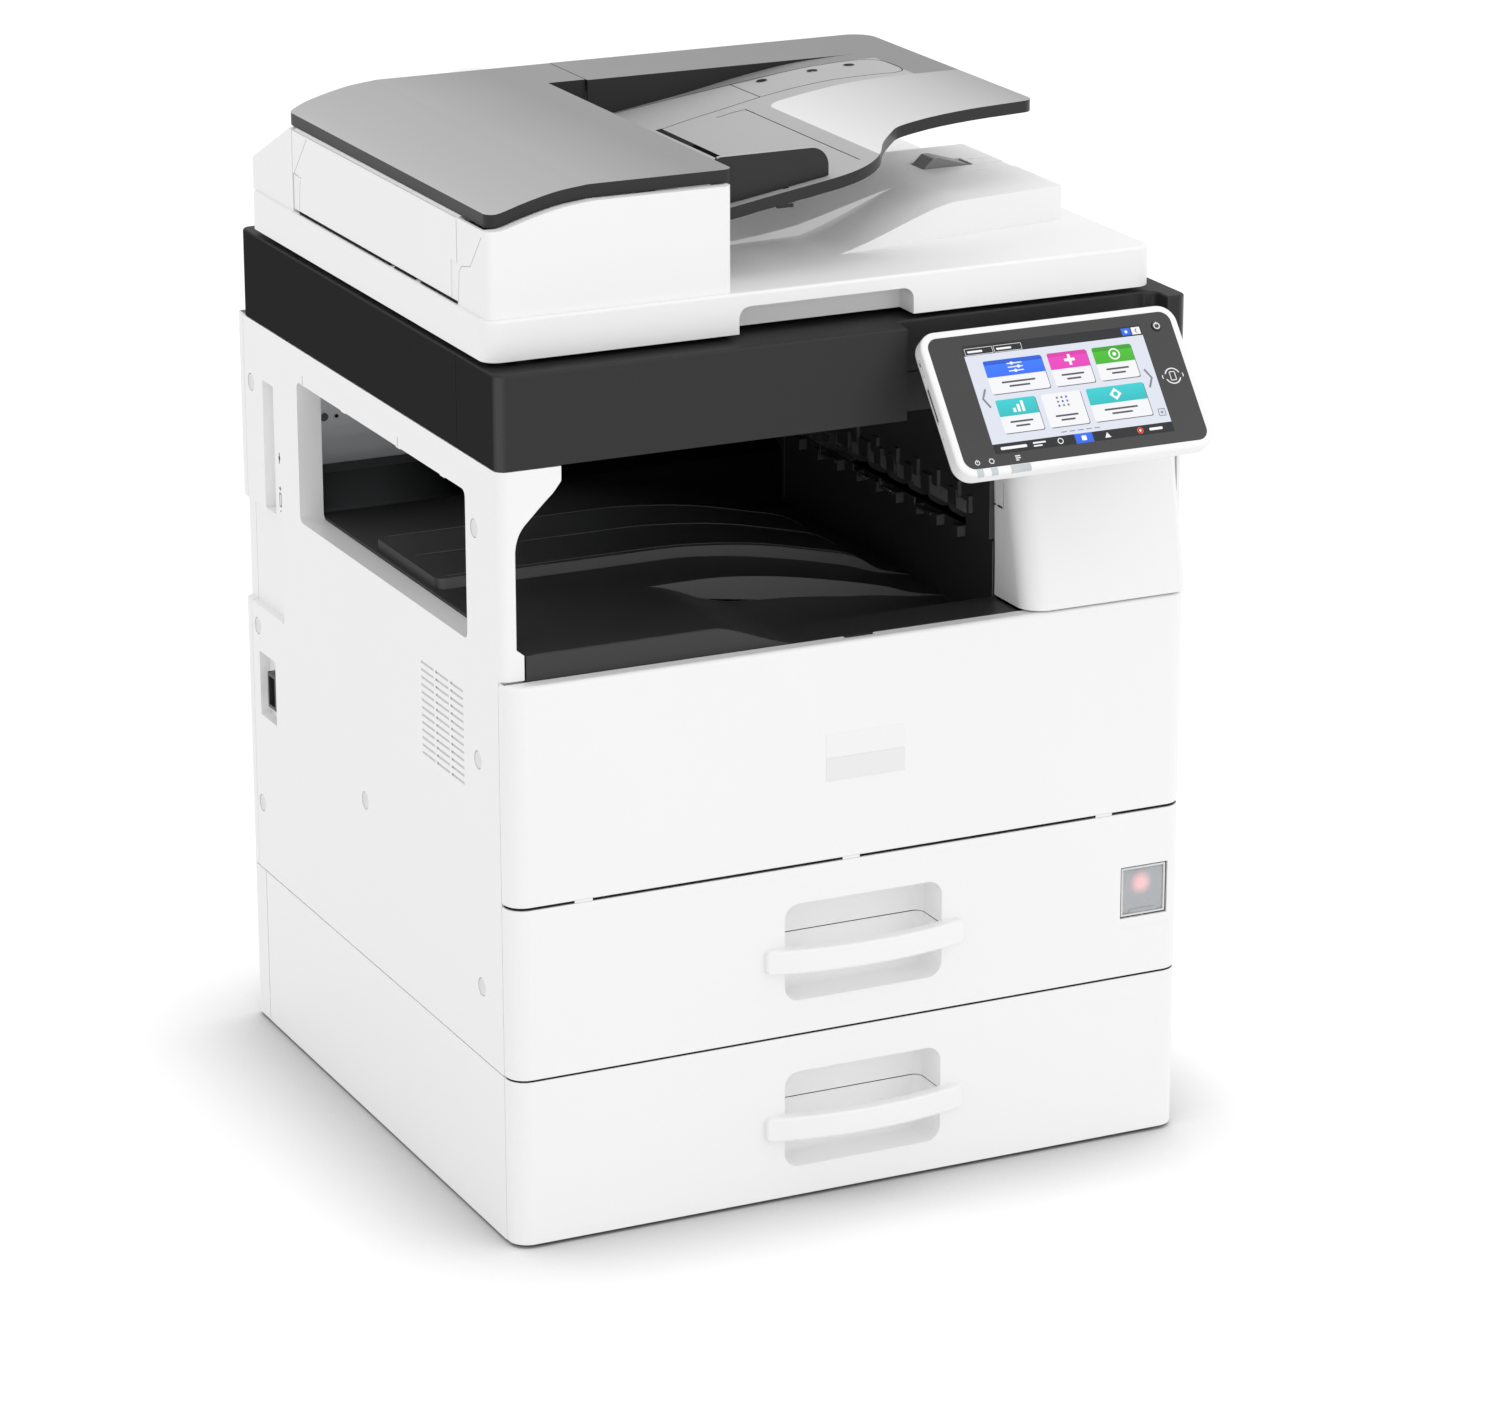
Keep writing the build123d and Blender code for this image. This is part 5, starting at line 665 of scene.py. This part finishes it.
for step, tall in enumerate(signs["barTall"]):
    left = x + signs["barPitch"] * step
    tile((left, left + signs["barWide"], y, y + tall), 5, white, 0.4)
(x, y), reach = signs["rhombus"], signs["reach"]
drawn([(x + reach, y), (x, y + reach), (x - reach, y), (x, y - reach)], 5, white)
disc(x, y, signs["hole"], 6, cyan)

# Arrows beside the cards, then the head bar's two tabs and two keys; heights are above the bar's lower edge.
arrow = dict(x=69.2, tip=73.4, y=1.0, half=7.8, width=1.7)
for side in (-1, 1):
    base, tip = side * arrow["x"], side * arrow["tip"]
    low, high = around(arrow["y"], arrow["half"])
    lcd.stroke(onPanel, [(base, high), (tip, arrow["y"]), (base, low)], arrow["width"], 0, 3 * lift, outline)
headBar = dict(tabs=(-76.4, -51.4), tab=(24.0, 0.4, 6.2), line=0.35, radii=(0.4, 0.1),
               word=(2.2, 15.0, 2.3, 4.0), blueKey=(60.4, 68.2), paleKey=(69.2, 76.8), key=(1.1, 7.2),
               dot=(64.3, 4.1, 1.3), back=((73.8, 2.4), (72.2, 4.1), (73.8, 5.8)), backWidth=0.7)
long, bottom, top = headBar["tab"]
for left in headBar["tabs"]:
    lcd.rim(onPanel, (left, left + long, headLow + bottom, headLow + top), headBar["line"], headBar["radii"],
            0, 3 * lift, white)
    near, far, bottomWord, topWord = headBar["word"]
    tile((left + near, left + far, headLow + bottomWord, headLow + topWord), 3, white, 0.5)
keyRise = [headLow + height for height in headBar["key"]]
tile((*headBar["blueKey"], *keyRise), 3, blue)
x, y, radius = headBar["dot"]
disc(x, headLow + y, radius, 4, white, 14)
tile((*headBar["paleKey"], *keyRise), 3, card)
lcd.stroke(onPanel, [(x, headLow + y) for x, y in headBar["back"]], headBar["backWidth"], 0, 4 * lift, text)

# Foot bar: bars for words, a ring, the middle key, a triangle and a stop sign; heights are about its middle.
footBar = dict(words=((-72.0, -49.5, -1.2, 1.2, 0.8), (-44.0, -33.0, 0.5, 1.9, 0.4),
                      (-44.0, -36.5, -1.9, -0.7, 0.4)),
               ring=(-20.5, 2.5, 1.8), key=7.6, sign=(2.1, 2.0, 0.7), triangle=(20.4, 2.6, 2.2),
               stop=(49.0, 2.7, 1.7, 1.0), clock=(57.0, 68.5, -1.1, 1.1, 0.7))
foot = display["low"] + display["footBar"] / 2


def word(left, right, bottom, top, radius):
    tile((left, right, foot + bottom, foot + top), 3, white, radius)


for one in footBar["words"]:
    word(*one)
x, outer, inner = footBar["ring"]
hoop(x, foot, outer, inner, 3, white)
tile((*around(0, footBar["key"]), display["low"], footHigh), 3, blue)
halfX, halfY, radius = footBar["sign"]
tile((*around(0, halfX), *around(foot, halfY)), 4, white, radius)
x, halfX, halfY = footBar["triangle"]
drawn([(x + halfX, foot - halfY), (x, foot + halfY), (x - halfX, foot - halfY)], 3, white)
x, outer, inner, core = footBar["stop"]
hoop(x, foot, outer, inner, 3, red)
disc(x, foot, core, 3, white, 14)
word(*footBar["clock"])

# Page marks under the cards, and the small box at the page's lower right.
pageMarks = dict(left=-17.5, right=-12.6, pitch=7.2, count=5, shown=2, y=(-34.6, -33.9),
                 box=(69.4, 75.6, -31.6, -25.4), line=0.6, radii=(0.4, 0.1), dot=(72.5, -28.5, 1.1))
for step in range(pageMarks["count"]):
    left, right = (pageMarks[end] + pageMarks["pitch"] * step for end in ("left", "right"))
    tile((left, right, *pageMarks["y"]), 2, blue if step == pageMarks["shown"] else outline)
lcd.rim(onPanel, pageMarks["box"], pageMarks["line"], pageMarks["radii"], 0, 3 * lift, outline)
disc(*pageMarks["dot"], 3, outline, 12)
lcd.make("lcd_page", "panel",
         [lit("lcd_" + name, tone, fade) for name, tone, fade in displayTones])

# White marks printed on the glass: the card reader's two arcs round a page between waves, and under the
# display a ring with a bar, a hexagon and three lines.
printed = plastic("panel_print", (0.80, 0.80, 0.81), 0.40, 0.02, 900, 0.003)
glassMarks = dict(lift=(-0.2, 0.06), reader=(91.9, 0.4), radius=6.4, width=1.0, arcs=(20, 200), sweep=140,
                  page=(2.6, 3.9), pageLine=0.7, pageRadii=(1.0, 0.5), wave=(8.6, 9.2, 1.6), waveWidth=0.8,
                  power=(-94.8, -50.2), powerRing=(2.1, 1.4), powerBar=(0.4, 2.6),
                  hexagon=(-82.7, -50.3, 2.5, 1.7), lines=(-62.2, -49.2), thick=1.0,
                  lengths=((0.0, 4.4), (-1.7, 4.4), (-3.4, 2.6)), lineRadius=0.3)
marks = Shape()
x, y = glassMarks["reader"]
for start in glassMarks["arcs"]:
    marks.stroke(onPanel, arc(x, y, glassMarks["radius"], start, start + glassMarks["sweep"], 24),
                 glassMarks["width"], *glassMarks["lift"])
halfX, halfY = glassMarks["page"]
marks.rim(onPanel, (*around(x, halfX), *around(y, halfY)), glassMarks["pageLine"], glassMarks["pageRadii"],
          *glassMarks["lift"])
near, far, half = glassMarks["wave"]
for side in (-1, 1):
    marks.stroke(onPanel, [(x + side * near, y - half), (x + side * far, y), (x + side * near, y + half)],
                 glassMarks["waveWidth"], *glassMarks["lift"])
x, y = glassMarks["power"]
half, top = glassMarks["powerBar"]
marks.hoop(onPanel, x, y, *glassMarks["powerRing"], *glassMarks["lift"])
marks.tile(onPanel, (*around(x, half), y, y + top), *glassMarks["lift"], radius=glassMarks["lineRadius"])
marks.hoop(onPanel, *glassMarks["hexagon"], *glassMarks["lift"], steps=6)
x, y = glassMarks["lines"]
for drop, long in glassMarks["lengths"]:
    marks.tile(onPanel, (x, x + long, y + drop, y + drop + glassMarks["thick"]), *glassMarks["lift"],
               radius=glassMarks["lineRadius"])
marks.make("panel_marks", "panel", printed)

# Lamp windows that wrap the panel's lower border: a flat top that bends down in a quarter circle.
lampWindow = dict(spans=((-97.6, -92.0), (-85.4, -79.8), (-68.6, -51.4)), inner=-55.7, outer=-61.27,
                  proud=0.10, bend=2.3, sunk=-2.5, color=(0.50, 0.54, 0.56), roughness=0.25, coat=0.4,
                  coatRough=0.1, frost=(90.0, 2.0), tones=((0.44, 0.48, 0.50), (0.62, 0.65, 0.67)))
frosted = Finish("lamp_window", lampWindow["color"], lampWindow["roughness"], Coat_Weight=lampWindow["coat"],
                 Coat_Roughness=lampWindow["coatRough"])
frosted.drive(Base_Color=frosted.mix(frosted.noise(*lampWindow["frost"]), *lampWindow["tones"]))
inner, outer, proud, bend = (lampWindow[size] for size in ("inner", "outer", "proud", "bend"))
turn = np.linspace(0, math.pi / 2, 7)
bent = np.stack([outer + bend * (1 - np.sin(turn)), proud - bend * (1 - np.cos(turn))], 1)
profile = np.array([(inner, lampWindow["sunk"]), (inner, proud), *bent, (outer, lampWindow["sunk"])])
windows = Shape()
for low, high in lampWindow["spans"]:
    windows.prism(turned(onPanel), profile, low, high)
windows.make("lamp_windows", "panel", frosted)

# Card and memory slots in the panel's left edge: bright rims, dark mouths and a small lamp.
dark = plastic("slot_dark", (0.012, 0.012, 0.013), 0.60, 0.05, 900, 0.004, Specular_IOR_Level=0.05)
soft = plastic("slot_grey", (0.36, 0.36, 0.37), 0.45, 0.03, 900, 0.004)
edgeSlots = dict(level=-9.0, lift=(-0.5, 0.06),
                 rims=((28.6, 42.8, 1.9, 0.4, (1.2, 0.9)), (-11.0, 19.8, 1.9, 0.3, (0.9, 0.7))),
                 mouths=((37.4, 40.6, 0.7, 0.3, 0), (-9.6, 18.4, 0.9, 0.5, 0), (-24.0, -22.8, 0.6, 0.5, 1)))
slots = Shape()
for low, high, half, line, radii in edgeSlots["rims"]:
    slots.rim(onPanelSide, (low, high, *around(edgeSlots["level"], half)), line, radii, *edgeSlots["lift"], 1)
for low, high, half, radius, kind in edgeSlots["mouths"]:
    slots.tile(onPanelSide, (low, high, *around(edgeSlots["level"], half)), *edgeSlots["lift"], kind, radius)
slots.make("panel_slots", "panel", [dark, soft])

# Bare name plates on the front cover, and light buffers in the seam under it.
plates = dict(left=-27.1, right=41.3, edges=(345.8, 365.0, 384.2), gap=0.25, lift=(-0.5, 0.35), round=0.12)
upperPlate = plastic("plate_upper", (0.86, 0.86, 0.86), 0.32, 0.01, 1500, 0.004)
lowerPlate = plastic("plate_lower", (0.80, 0.80, 0.80), 0.35, 0.01, 1500, 0.004)
low, middle, high = plates["edges"]
badge = Shape()
badge.tile(onFront(0), (plates["left"], plates["right"], low, middle - plates["gap"]), *plates["lift"], 1)
badge.tile(onFront(0), (plates["left"], plates["right"], middle + plates["gap"], high), *plates["lift"])
badge.make("name_plates", "front_cover", [upperPlate, lowerPlate], plates["round"])
buffers = dict(spans=((-240.5, -225.5), (-12.2, 2.6), (212.8, 227.4)), z=(279.6, 281.6), lift=(-6.0, -0.4))
pads = Shape()
for span in buffers["spans"]:
    pads.tile(onFront(0), (*span, *buffers["z"]), *buffers["lift"])
pads.make("cover_buffers", "front_cover", upperPlate)

# Painted seam shadows, dark strips in the gaps under the front cover and under the upper drawer's front, and
# the seam half way up each recess.
darkSeams = dict(corner=(277.5, 16.0), radius=14.6, width=1.2,
             levels=(("cover_seal", "front_cover", (280.0, 281.5)),
                     ("drawer_seal", "upper_drawer", (138.95, 140.35))),
             tops=(("upper_drawer", 279.3), ("lower_drawer", 138.75)), drop=64.5, line=(2.95, 2.25),
             recess=((-61.5, 74.5, 37.05, 37.65), (75.05, 75.65, 3.0, 37.6), (-62.65, -62.05, 3.0, 37.6)))
cornerX, cornerDepth = darkSeams["corner"]
leftArc = arc(-cornerX, cornerDepth, darkSeams["radius"], 180, 270, 9)
# Dark strips where shade falls in the gaps: painted seam shadows.
for name, body, levels in darkSeams["levels"]:
    seamShadow = Shape()
    seamShadow.stroke(onTop(0), np.concatenate([leftArc, leftArc[::-1] * (-1, 1)]), darkSeams["width"], *levels)
    seamShadow.make(name, body, dark)
for body, top in darkSeams["tops"]:
    seam = Shape()
    for area in darkSeams["recess"]:
        seam.tile(onTop(top - darkSeams["drop"]), area, *(-below for below in darkSeams["line"]))
    seam.make(body + "_seam", body, dark)

# White ledge under the left post, behind the front cover's top edge.
postLedge = dict(x=(-291.5, -272.6), depth=(18.6, 24.0), z=(452.0, 459.2))
ledge = Shape()
ledge.tile(onTop(0), (*postLedge["x"], *postLedge["depth"]), *postLedge["z"])
ledge.make("post_ledge", "machine", whiteCover)

# Left cover: tabs and slits along the window's top edge, pale strips behind the vent, and the port's marks.
leftCover = dict(x=-293.5, top=594.6, tabs=(328.2, 211.9, 122.1), tab=(4.5, -1.0, 1.0), tabLift=(-2.4, -0.1),
                 slits=(212.2, 417.4), slit=(0.55, 0.2, 8.0), slitLift=(-0.5, 0.04), slitRadius=0.4)
onCover, windowTop = onLeft(leftCover["x"]), leftCover["top"]
half, bottom, top = leftCover["tab"]
tabs = Shape()
for depth in leftCover["tabs"]:
    tabs.tile(onCover, (*around(depth, half), windowTop + bottom, windowTop + top), *leftCover["tabLift"])
tabs.make("window_tabs", "machine", whiteCover)
vent = dict(rows=13, bottom=356.0, pitch=6.2, high=2.2, spare=0.1, lift=(-2.0, -0.6),
            columns=((88.0, 111.4), (117.0, 141.4), (147.0, 173.0)))
pale = plastic("vent_pale", (0.60, 0.60, 0.60), 0.50, 0.02, 1500, 0.004)
strips = Shape()
for row in range(vent["rows"]):
    z = vent["bottom"] + row * vent["pitch"]
    for column in vent["columns"]:
        strips.tile(onCover, (*column, z - vent["spare"], z + vent["high"] + vent["spare"]), *vent["lift"])
strips.make("vent_strips", "machine", pale)
port = dict(depth=475.4, lift=(-0.5, 0.05), window=(2.2, 477.6, 489.4), line=0.9, radii=(0.5, 0.2),
            marks=((0.7, 514.6, 523.8, 0.6), (1.7, 517.2, 521.2, 1.6), (0.5, 491.4, 495.2, 0.2),
                   (2.2, 492.8, 493.7, 0.2), (0.8, 473.0, 474.6, 0.7)))
half, bottom, top = leftCover["slit"]
scores = Shape()
for depth in leftCover["slits"]:
    scores.tile(onCover, (*around(depth, half), windowTop + bottom, windowTop + top),
                *leftCover["slitLift"], 1, leftCover["slitRadius"])
for half, bottom, top, radius in port["marks"]:
    scores.tile(onCover, (*around(port["depth"], half), bottom, top), *port["lift"], radius=radius)
half, bottom, top = port["window"]
scores.rim(onCover, (*around(port["depth"], half), bottom, top), port["line"], port["radii"], *port["lift"])
scores.make("side_marks", "machine", [dark, soft])

# Exit tray: fine ridges and strokes along the edges of its steps, each from a point to a point, both in a
# lighter grey as painted highlights.
# A lighter grey for painted highlights on ridges, ribs and edges; the large plate hole's ground uses it too.
edgeGrey = plastic("edge_grey", (0.15, 0.15, 0.152), 0.35, 0.05, 1500, 0.004)
trayLines = dict(ridges=(205.6, 267.6, 326.5), x=(-258.0, 112.0), ridge=0.55, ridgeLift=(-0.4, 0.35),
                 edges=(((-262, 199.4), (108, 199.4)), ((-106, 136.4), (124, 136.4)),
                        ((-100, 135.4), (124, 135.4)), ((-266, 14.4), (-70, 14.4))),
                 edge=0.5, edgeLift=(-0.4, 0.12), count=60)
onTray = draped("exit_tray")
left, right = trayLines["x"]
lines = Shape()
for depth in trayLines["ridges"]:
    lines.stroke(onTray, np.linspace((left, depth), (right, depth), trayLines["count"]),
                 trayLines["ridge"], *trayLines["ridgeLift"])
for start, end in trayLines["edges"]:
    lines.stroke(onTray, np.linspace(start, end, trayLines["count"]),
                 trayLines["edge"], *trayLines["edgeLift"])
lines.make("tray_ridges", "machine", edgeGrey)

# Wall beside the exit: blocks and thin ribs over the rollers, brackets under them, lines down its corners.
# The ribs and the lines are in the lighter grey as painted highlights.
exitWall = dict(x=(139.6, 143.6), blockZ=(519.5, 533.5), round=0.25,
                blocks=((299.5, 319.5), (263.0, 279.5), (239.5, 251.5), (215.5, 229.0), (183.5, 197.8),
                        (152.6, 168.0), (106.0, 120.5), (84.5, 88.0)),
                ribs=((313.0, 322.0, 3), (284.0, 291.8, 3), (255.8, 260.4, 2), (233.5, 238.5, 2),
                      (202.3, 210.6, 3), (172.2, 181.2, 3), (126.3, 151.5, 7), (93.0, 106.2, 4)),
                ribX=(0.6, 0.5), ribZ=(517.8, 527.8), rib=0.55,
                hooks=((324.0, 353.5), (268.0, 292.0), (218.5, 242.5), (151.5, 180.8)),
                hookZ=(500.4, 502.4), hookPast=0.4, hookRadius=0.8, lip=(1.2, 2.0, 6.0),
                clips=((269.0, 283.0), (221.0, 234.5)), clipX=(-0.5, 1.0), clipZ=(502.2, 503.1),
                clipRadius=0.5,
                sideLine=(148.0, 437.0, 441.0, 499.0, 0.8), frontLine=(56.0, 146.6, 458.0, 503.0, 0.5),
                lineLift=(-0.3, 0.15))
low, high = exitWall["x"]
blocks = Shape()
for span in exitWall["blocks"]:
    blocks.tile(onTop(0), (low, high, *span), *exitWall["blockZ"])
bottom, top = exitWall["hookZ"]
lipX, lipDepth, lipHigh = exitWall["lip"]
for front, rear in exitWall["hooks"]:
    blocks.tile(onTop(0), (low, high + exitWall["hookPast"], front, rear), bottom, top,
                radius=exitWall["hookRadius"])
    blocks.tile(onTop(0), (low, low + lipX, rear - lipDepth, rear), bottom, top + lipHigh)
blocks.make("exit_blocks", "machine", finishes["tray_black"], exitWall["round"])
# Painted highlights: the ribs and the corner lines take the lighter grey.
ribs = Shape()
ribLeft, ribRight = low + exitWall["ribX"][0], high + exitWall["ribX"][1]
for front, rear, count in exitWall["ribs"]:
    for depth in np.linspace(front, rear, count):
        ribs.tile(onTop(0), (ribLeft, ribRight, *around(depth, exitWall["rib"] / 2)), *exitWall["ribZ"])
x, depth, bottom, top, width = exitWall["sideLine"]
ribs.stroke(onLeft(x), [(depth, bottom), (depth, top)], width, *exitWall["lineLift"])
depth, x, bottom, top, width = exitWall["frontLine"]
ribs.stroke(onFront(depth), [(x, bottom), (x, top)], width, *exitWall["lineLift"])
ribs.make("exit_ribs", "machine", edgeGrey)
clips = Shape()
clipLeft, clipRight = (low + step for step in exitWall["clipX"])
for span in exitWall["clips"]:
    clips.tile(onTop(0), (clipLeft, clipRight, *span), *exitWall["clipZ"], radius=exitWall["clipRadius"])
clips.make("exit_clips", "machine", finishes["zinc_sheet"])

# Holes in the plate behind the tray, the large one with a lighter ground, and the slit under them.
holes = dict(depth=500.0, spots=((-244.0, 542.2, 3.6, 2), (-233.2, 542.0, 1.7, 0), (-180.0, 560.0, 1.7, 0)),
             ground=(-0.3, 0.05), rim=0.9, rimLift=(-0.3, 0.5), slit=(-272.0, -120.0, 495.6, 498.2),
             slitLift=(-0.3, 0.3))
onPlate = onFront(holes["depth"])
drilled = Shape()
for x, z, radius, kind in holes["spots"]:
    drilled.disc(onPlate, x, z, radius, *holes["ground"], kind)
    drilled.hoop(onPlate, x, z, radius + holes["rim"], radius, *holes["rimLift"], 1)
drilled.tile(onPlate, holes["slit"], *holes["slitLift"])
drilled.make("plate_holes", "machine", [dark, finishes["zinc_sheet"], edgeGrey])

# Hopper: seams of its inlaid plate, three sockets and the slot that the guide runs in.
hopper = dict(seam=1.0, lift=(-0.5, 0.04), crossShare=0.8, slot=(-24.2, -19.0, 252.0, 318.0),
              sockets=((93.2, 366.8), (135.5, 359.6), (168.6, 359.0)), socket=4.6, rim=0.7,
              rimLift=(-0.5, 0.15),
              outline=((-60, 392.4), (-14, 392.2), (12, 390.6), (41, 387.2), (71.5, 381.0), (102, 376.0),
                       (146.6, 373.4), (176, 373.0), (192, 370.0), (199.5, 361), (201.4, 345), (200.2, 327),
                       (196.6, 317.5), (188.5, 314.0), (172.5, 315.3), (130.2, 320.8), (87.4, 324.8),
                       (42.8, 324.6), (10.6, 321.8), (-23, 315.5)),
              cross=((71.6, 380.4), (72.1, 325.6)),
              corner=((24.5, 306.9), (44, 307.1), (48.8, 305.6), (50.0, 301.0), (50.0, 290.0)))
onHopper = draped("hopper_tray")
seams = Shape()
seams.stroke(onHopper, evenly(hopper["outline"], 180), hopper["seam"], *hopper["lift"])
seams.stroke(onHopper, evenly(hopper["cross"], 6), hopper["seam"] * hopper["crossShare"], *hopper["lift"])
seams.stroke(onHopper, evenly(hopper["corner"], 30), hopper["seam"], *hopper["lift"])
for x, depth in hopper["sockets"]:
    seams.disc(onHopper, x, depth, hopper["socket"], *hopper["lift"])
left, right, front, rear = hopper["slot"]
middle = (left + right) / 2
seams.stroke(onHopper, np.linspace((middle, front), (middle, rear), 12), right - left, *hopper["lift"])
seams.make("hopper_seams", "feeder", dark)
rims = Shape()
for x, depth in hopper["sockets"]:
    rims.hoop(onHopper, x, depth, hopper["socket"] + hopper["rim"], hopper["socket"], *hopper["rimLift"])
rims.make("hopper_sockets", "feeder", finishes["feeder_grey"])

# Feeder: stepped seams of the side door, and the grip line beside the paper stop.
door = dict(x=-288.0, seam=0.6, lift=(-0.4, 0.06),
            front=((49.0, 795.0), (71.7, 767.6), (88.2, 764.4), (93.0, 759.5), (96.0, 734.6)),
            rear=((407.4, 797.9), (419.6, 784.3), (437.0, 764.6), (421.8, 763.7), (424.4, 758.3),
                  (426.8, 737.0)),
            low=((97.0, 171.4), (183.5, 224.1), (234.4, 428.0)), lowZ=(733.3, 734.6), lowLift=(-1.5, -0.2))
onDoor = onLeft(door["x"])
rearSeam = Shape()
rearSeam.stroke(onDoor, door["rear"], door["seam"], *door["lift"])
rearSeam.make("door_seam", "feeder_top", soft)
frontSeam = Shape()
frontSeam.stroke(onDoor, door["front"], door["seam"], *door["lift"])
for span in door["low"]:
    frontSeam.tile(onDoor, (*span, *door["lowZ"]), *door["lowLift"], 1)
frontSeam.make("body_seam", "feeder", [soft, dark])
stop = dict(width=0.9, count=24, lift=(-0.4, 0.3),
            lines=(((170.0, 254.5), (186.0, 264.0), (251.5, 264.0)), ((203.0, 226.0), (251.5, 226.0))))
onBase = draped("feeder_base")
grips = Shape()
for line in stop["lines"]:
    grips.stroke(onBase, evenly(line, stop["count"]), stop["width"], *stop["lift"])
grips.make("stop_lines", "feeder", whiteCover)

# Small lid outline on the pedestal's left side, and a fine line under the switch window.
smallLid = dict(x=147.0, area=(39.5, 54.3, 534.0, 576.0), line=0.45, radii=(0.9, 0.6), lift=(-0.6, 0.3),
                dashes=((53.0, 55.3), (42.0, 49.0)), dashZ=(533.6, 535.0), dashLift=(-0.6, 0.35))
lidLine = Shape()
lidLine.rim(onLeft(smallLid["x"]), smallLid["area"], smallLid["line"], smallLid["radii"], *smallLid["lift"])
for span in smallLid["dashes"]:
    lidLine.tile(onLeft(smallLid["x"]), (*span, *smallLid["dashZ"]), *smallLid["dashLift"], 1)
lidLine.make("pedestal_outline", "machine", [soft, dark])
switchLine = dict(area=(237.0, 281.5, 181.0, 181.9), radius=0.3, lift=(-0.3, 0.25))
underWindow = Shape()
underWindow.tile(onFront(0), switchLine["area"], *switchLine["lift"], radius=switchLine["radius"])
underWindow.make("switch_line", "upper_drawer", whiteCover)
print("pieces made")

# Plain studio: white world and floor, and four weak soft lamps: front right, low in front, above and right.
studio = dict(world=0.95, floor=(0.93, 0.93, 0.93), roughness=0.9, lift=0.14, reach=14.0, contact=0.13,
              samples=12, depth=0.8,
              lamps=[  # name, position, target, width, height, watts
                  ("key", (2.6, -3.2, 3.4), (0, 0, 0.45), 2.4, 2.4, 10),
                  ("low", (0.6, -4.4, 1.6), (0, 0, 0.45), 2.4, 2.4, 13),
                  ("top", (0.3, -0.4, 4.0), (0, 0, 0.45), 2.6, 2.2, 9),
                  ("side", (3.8, 0.4, 2.8), (0, 0, 0.6), 2.4, 2.4, 10)])

world = bpy.data.worlds.new("studio")
bpy.context.scene.world = world
world.use_nodes = True
sky = Nodes(world.node_tree)
background = world.node_tree.nodes["Background"]
background.inputs["Color"].default_value = (1, 1, 1, 1)
sky.feed(background.inputs["Strength"], studio["world"] + sky.shown() * (1 - studio["world"]))

reach = studio["reach"]
corners = [(-reach, -reach, 0), (reach, -reach, 0), (reach, reach, 0), (-reach, reach, 0)]
floorMesh = bpy.data.meshes.new("floor")
floorMesh.from_pydata(corners, [], [(0, 1, 2, 3)])
floor = bpy.data.objects.new("floor", floorMesh)
bpy.context.scene.collection.objects.link(floor)
# The floor darkens close to what stands on it: the open share of the sky within reach, raised to a power.
ground = Finish("floor", studio["floor"], studio["roughness"], Specular_IOR_Level=0.0,
                Emission_Strength=studio["lift"])
openShare = ground.node("ShaderNodeAmbientOcclusion", {"samples": studio["samples"]},
                        {"Distance": studio["contact"]}, output="AO").calc("POWER", studio["depth"])
ground.drive(Base_Color=ground.mix(ground.shown() * (1.0 - openShare), studio["floor"], black),
             Emission_Color=ground.mix(ground.shown() * openShare, black, bright))
floorMesh.materials.append(ground.material)

for name, place, target, width, height, watts in studio["lamps"]:
    data = bpy.data.lights.new(name, "AREA")
    data.shape, data.size, data.size_y, data.energy = "RECTANGLE", width, height, watts
    lampObject = bpy.data.objects.new(name, data)
    lampObject.location = place
    lampObject.rotation_mode = "QUATERNION"
    lampObject.rotation_quaternion = (Vector(target) - Vector(place)).to_track_quat("-Z", "Y")
    bpy.context.scene.collection.objects.link(lampObject)

# Azimuth 0 looks along +Y.
view = dict(place=(-1.806, -3.609 + frontFace, 1.731), azimuth=-25.40, elevation=18.27, roll=-0.10,
            lens=131.66, sensor=36.0, clip=(0.1, 60))
cameraData = bpy.data.cameras.new("camera")
cameraData.sensor_width, cameraData.lens = view["sensor"], view["lens"]
cameraData.clip_start, cameraData.clip_end = view["clip"]
camera = bpy.data.objects.new("camera", cameraData)
bpy.context.scene.collection.objects.link(camera)
camera.matrix_world = (Matrix.Translation(view["place"])
                       @ Matrix.Rotation(math.radians(view["azimuth"]), 4, "Z")
                       @ Matrix.Rotation(math.radians(90 - view["elevation"]), 4, "X")
                       @ Matrix.Rotation(math.radians(view["roll"]), 4, "Z"))
bpy.context.scene.camera = camera
bpy.context.scene.view_settings.view_transform = "Standard"

print("scene ready")
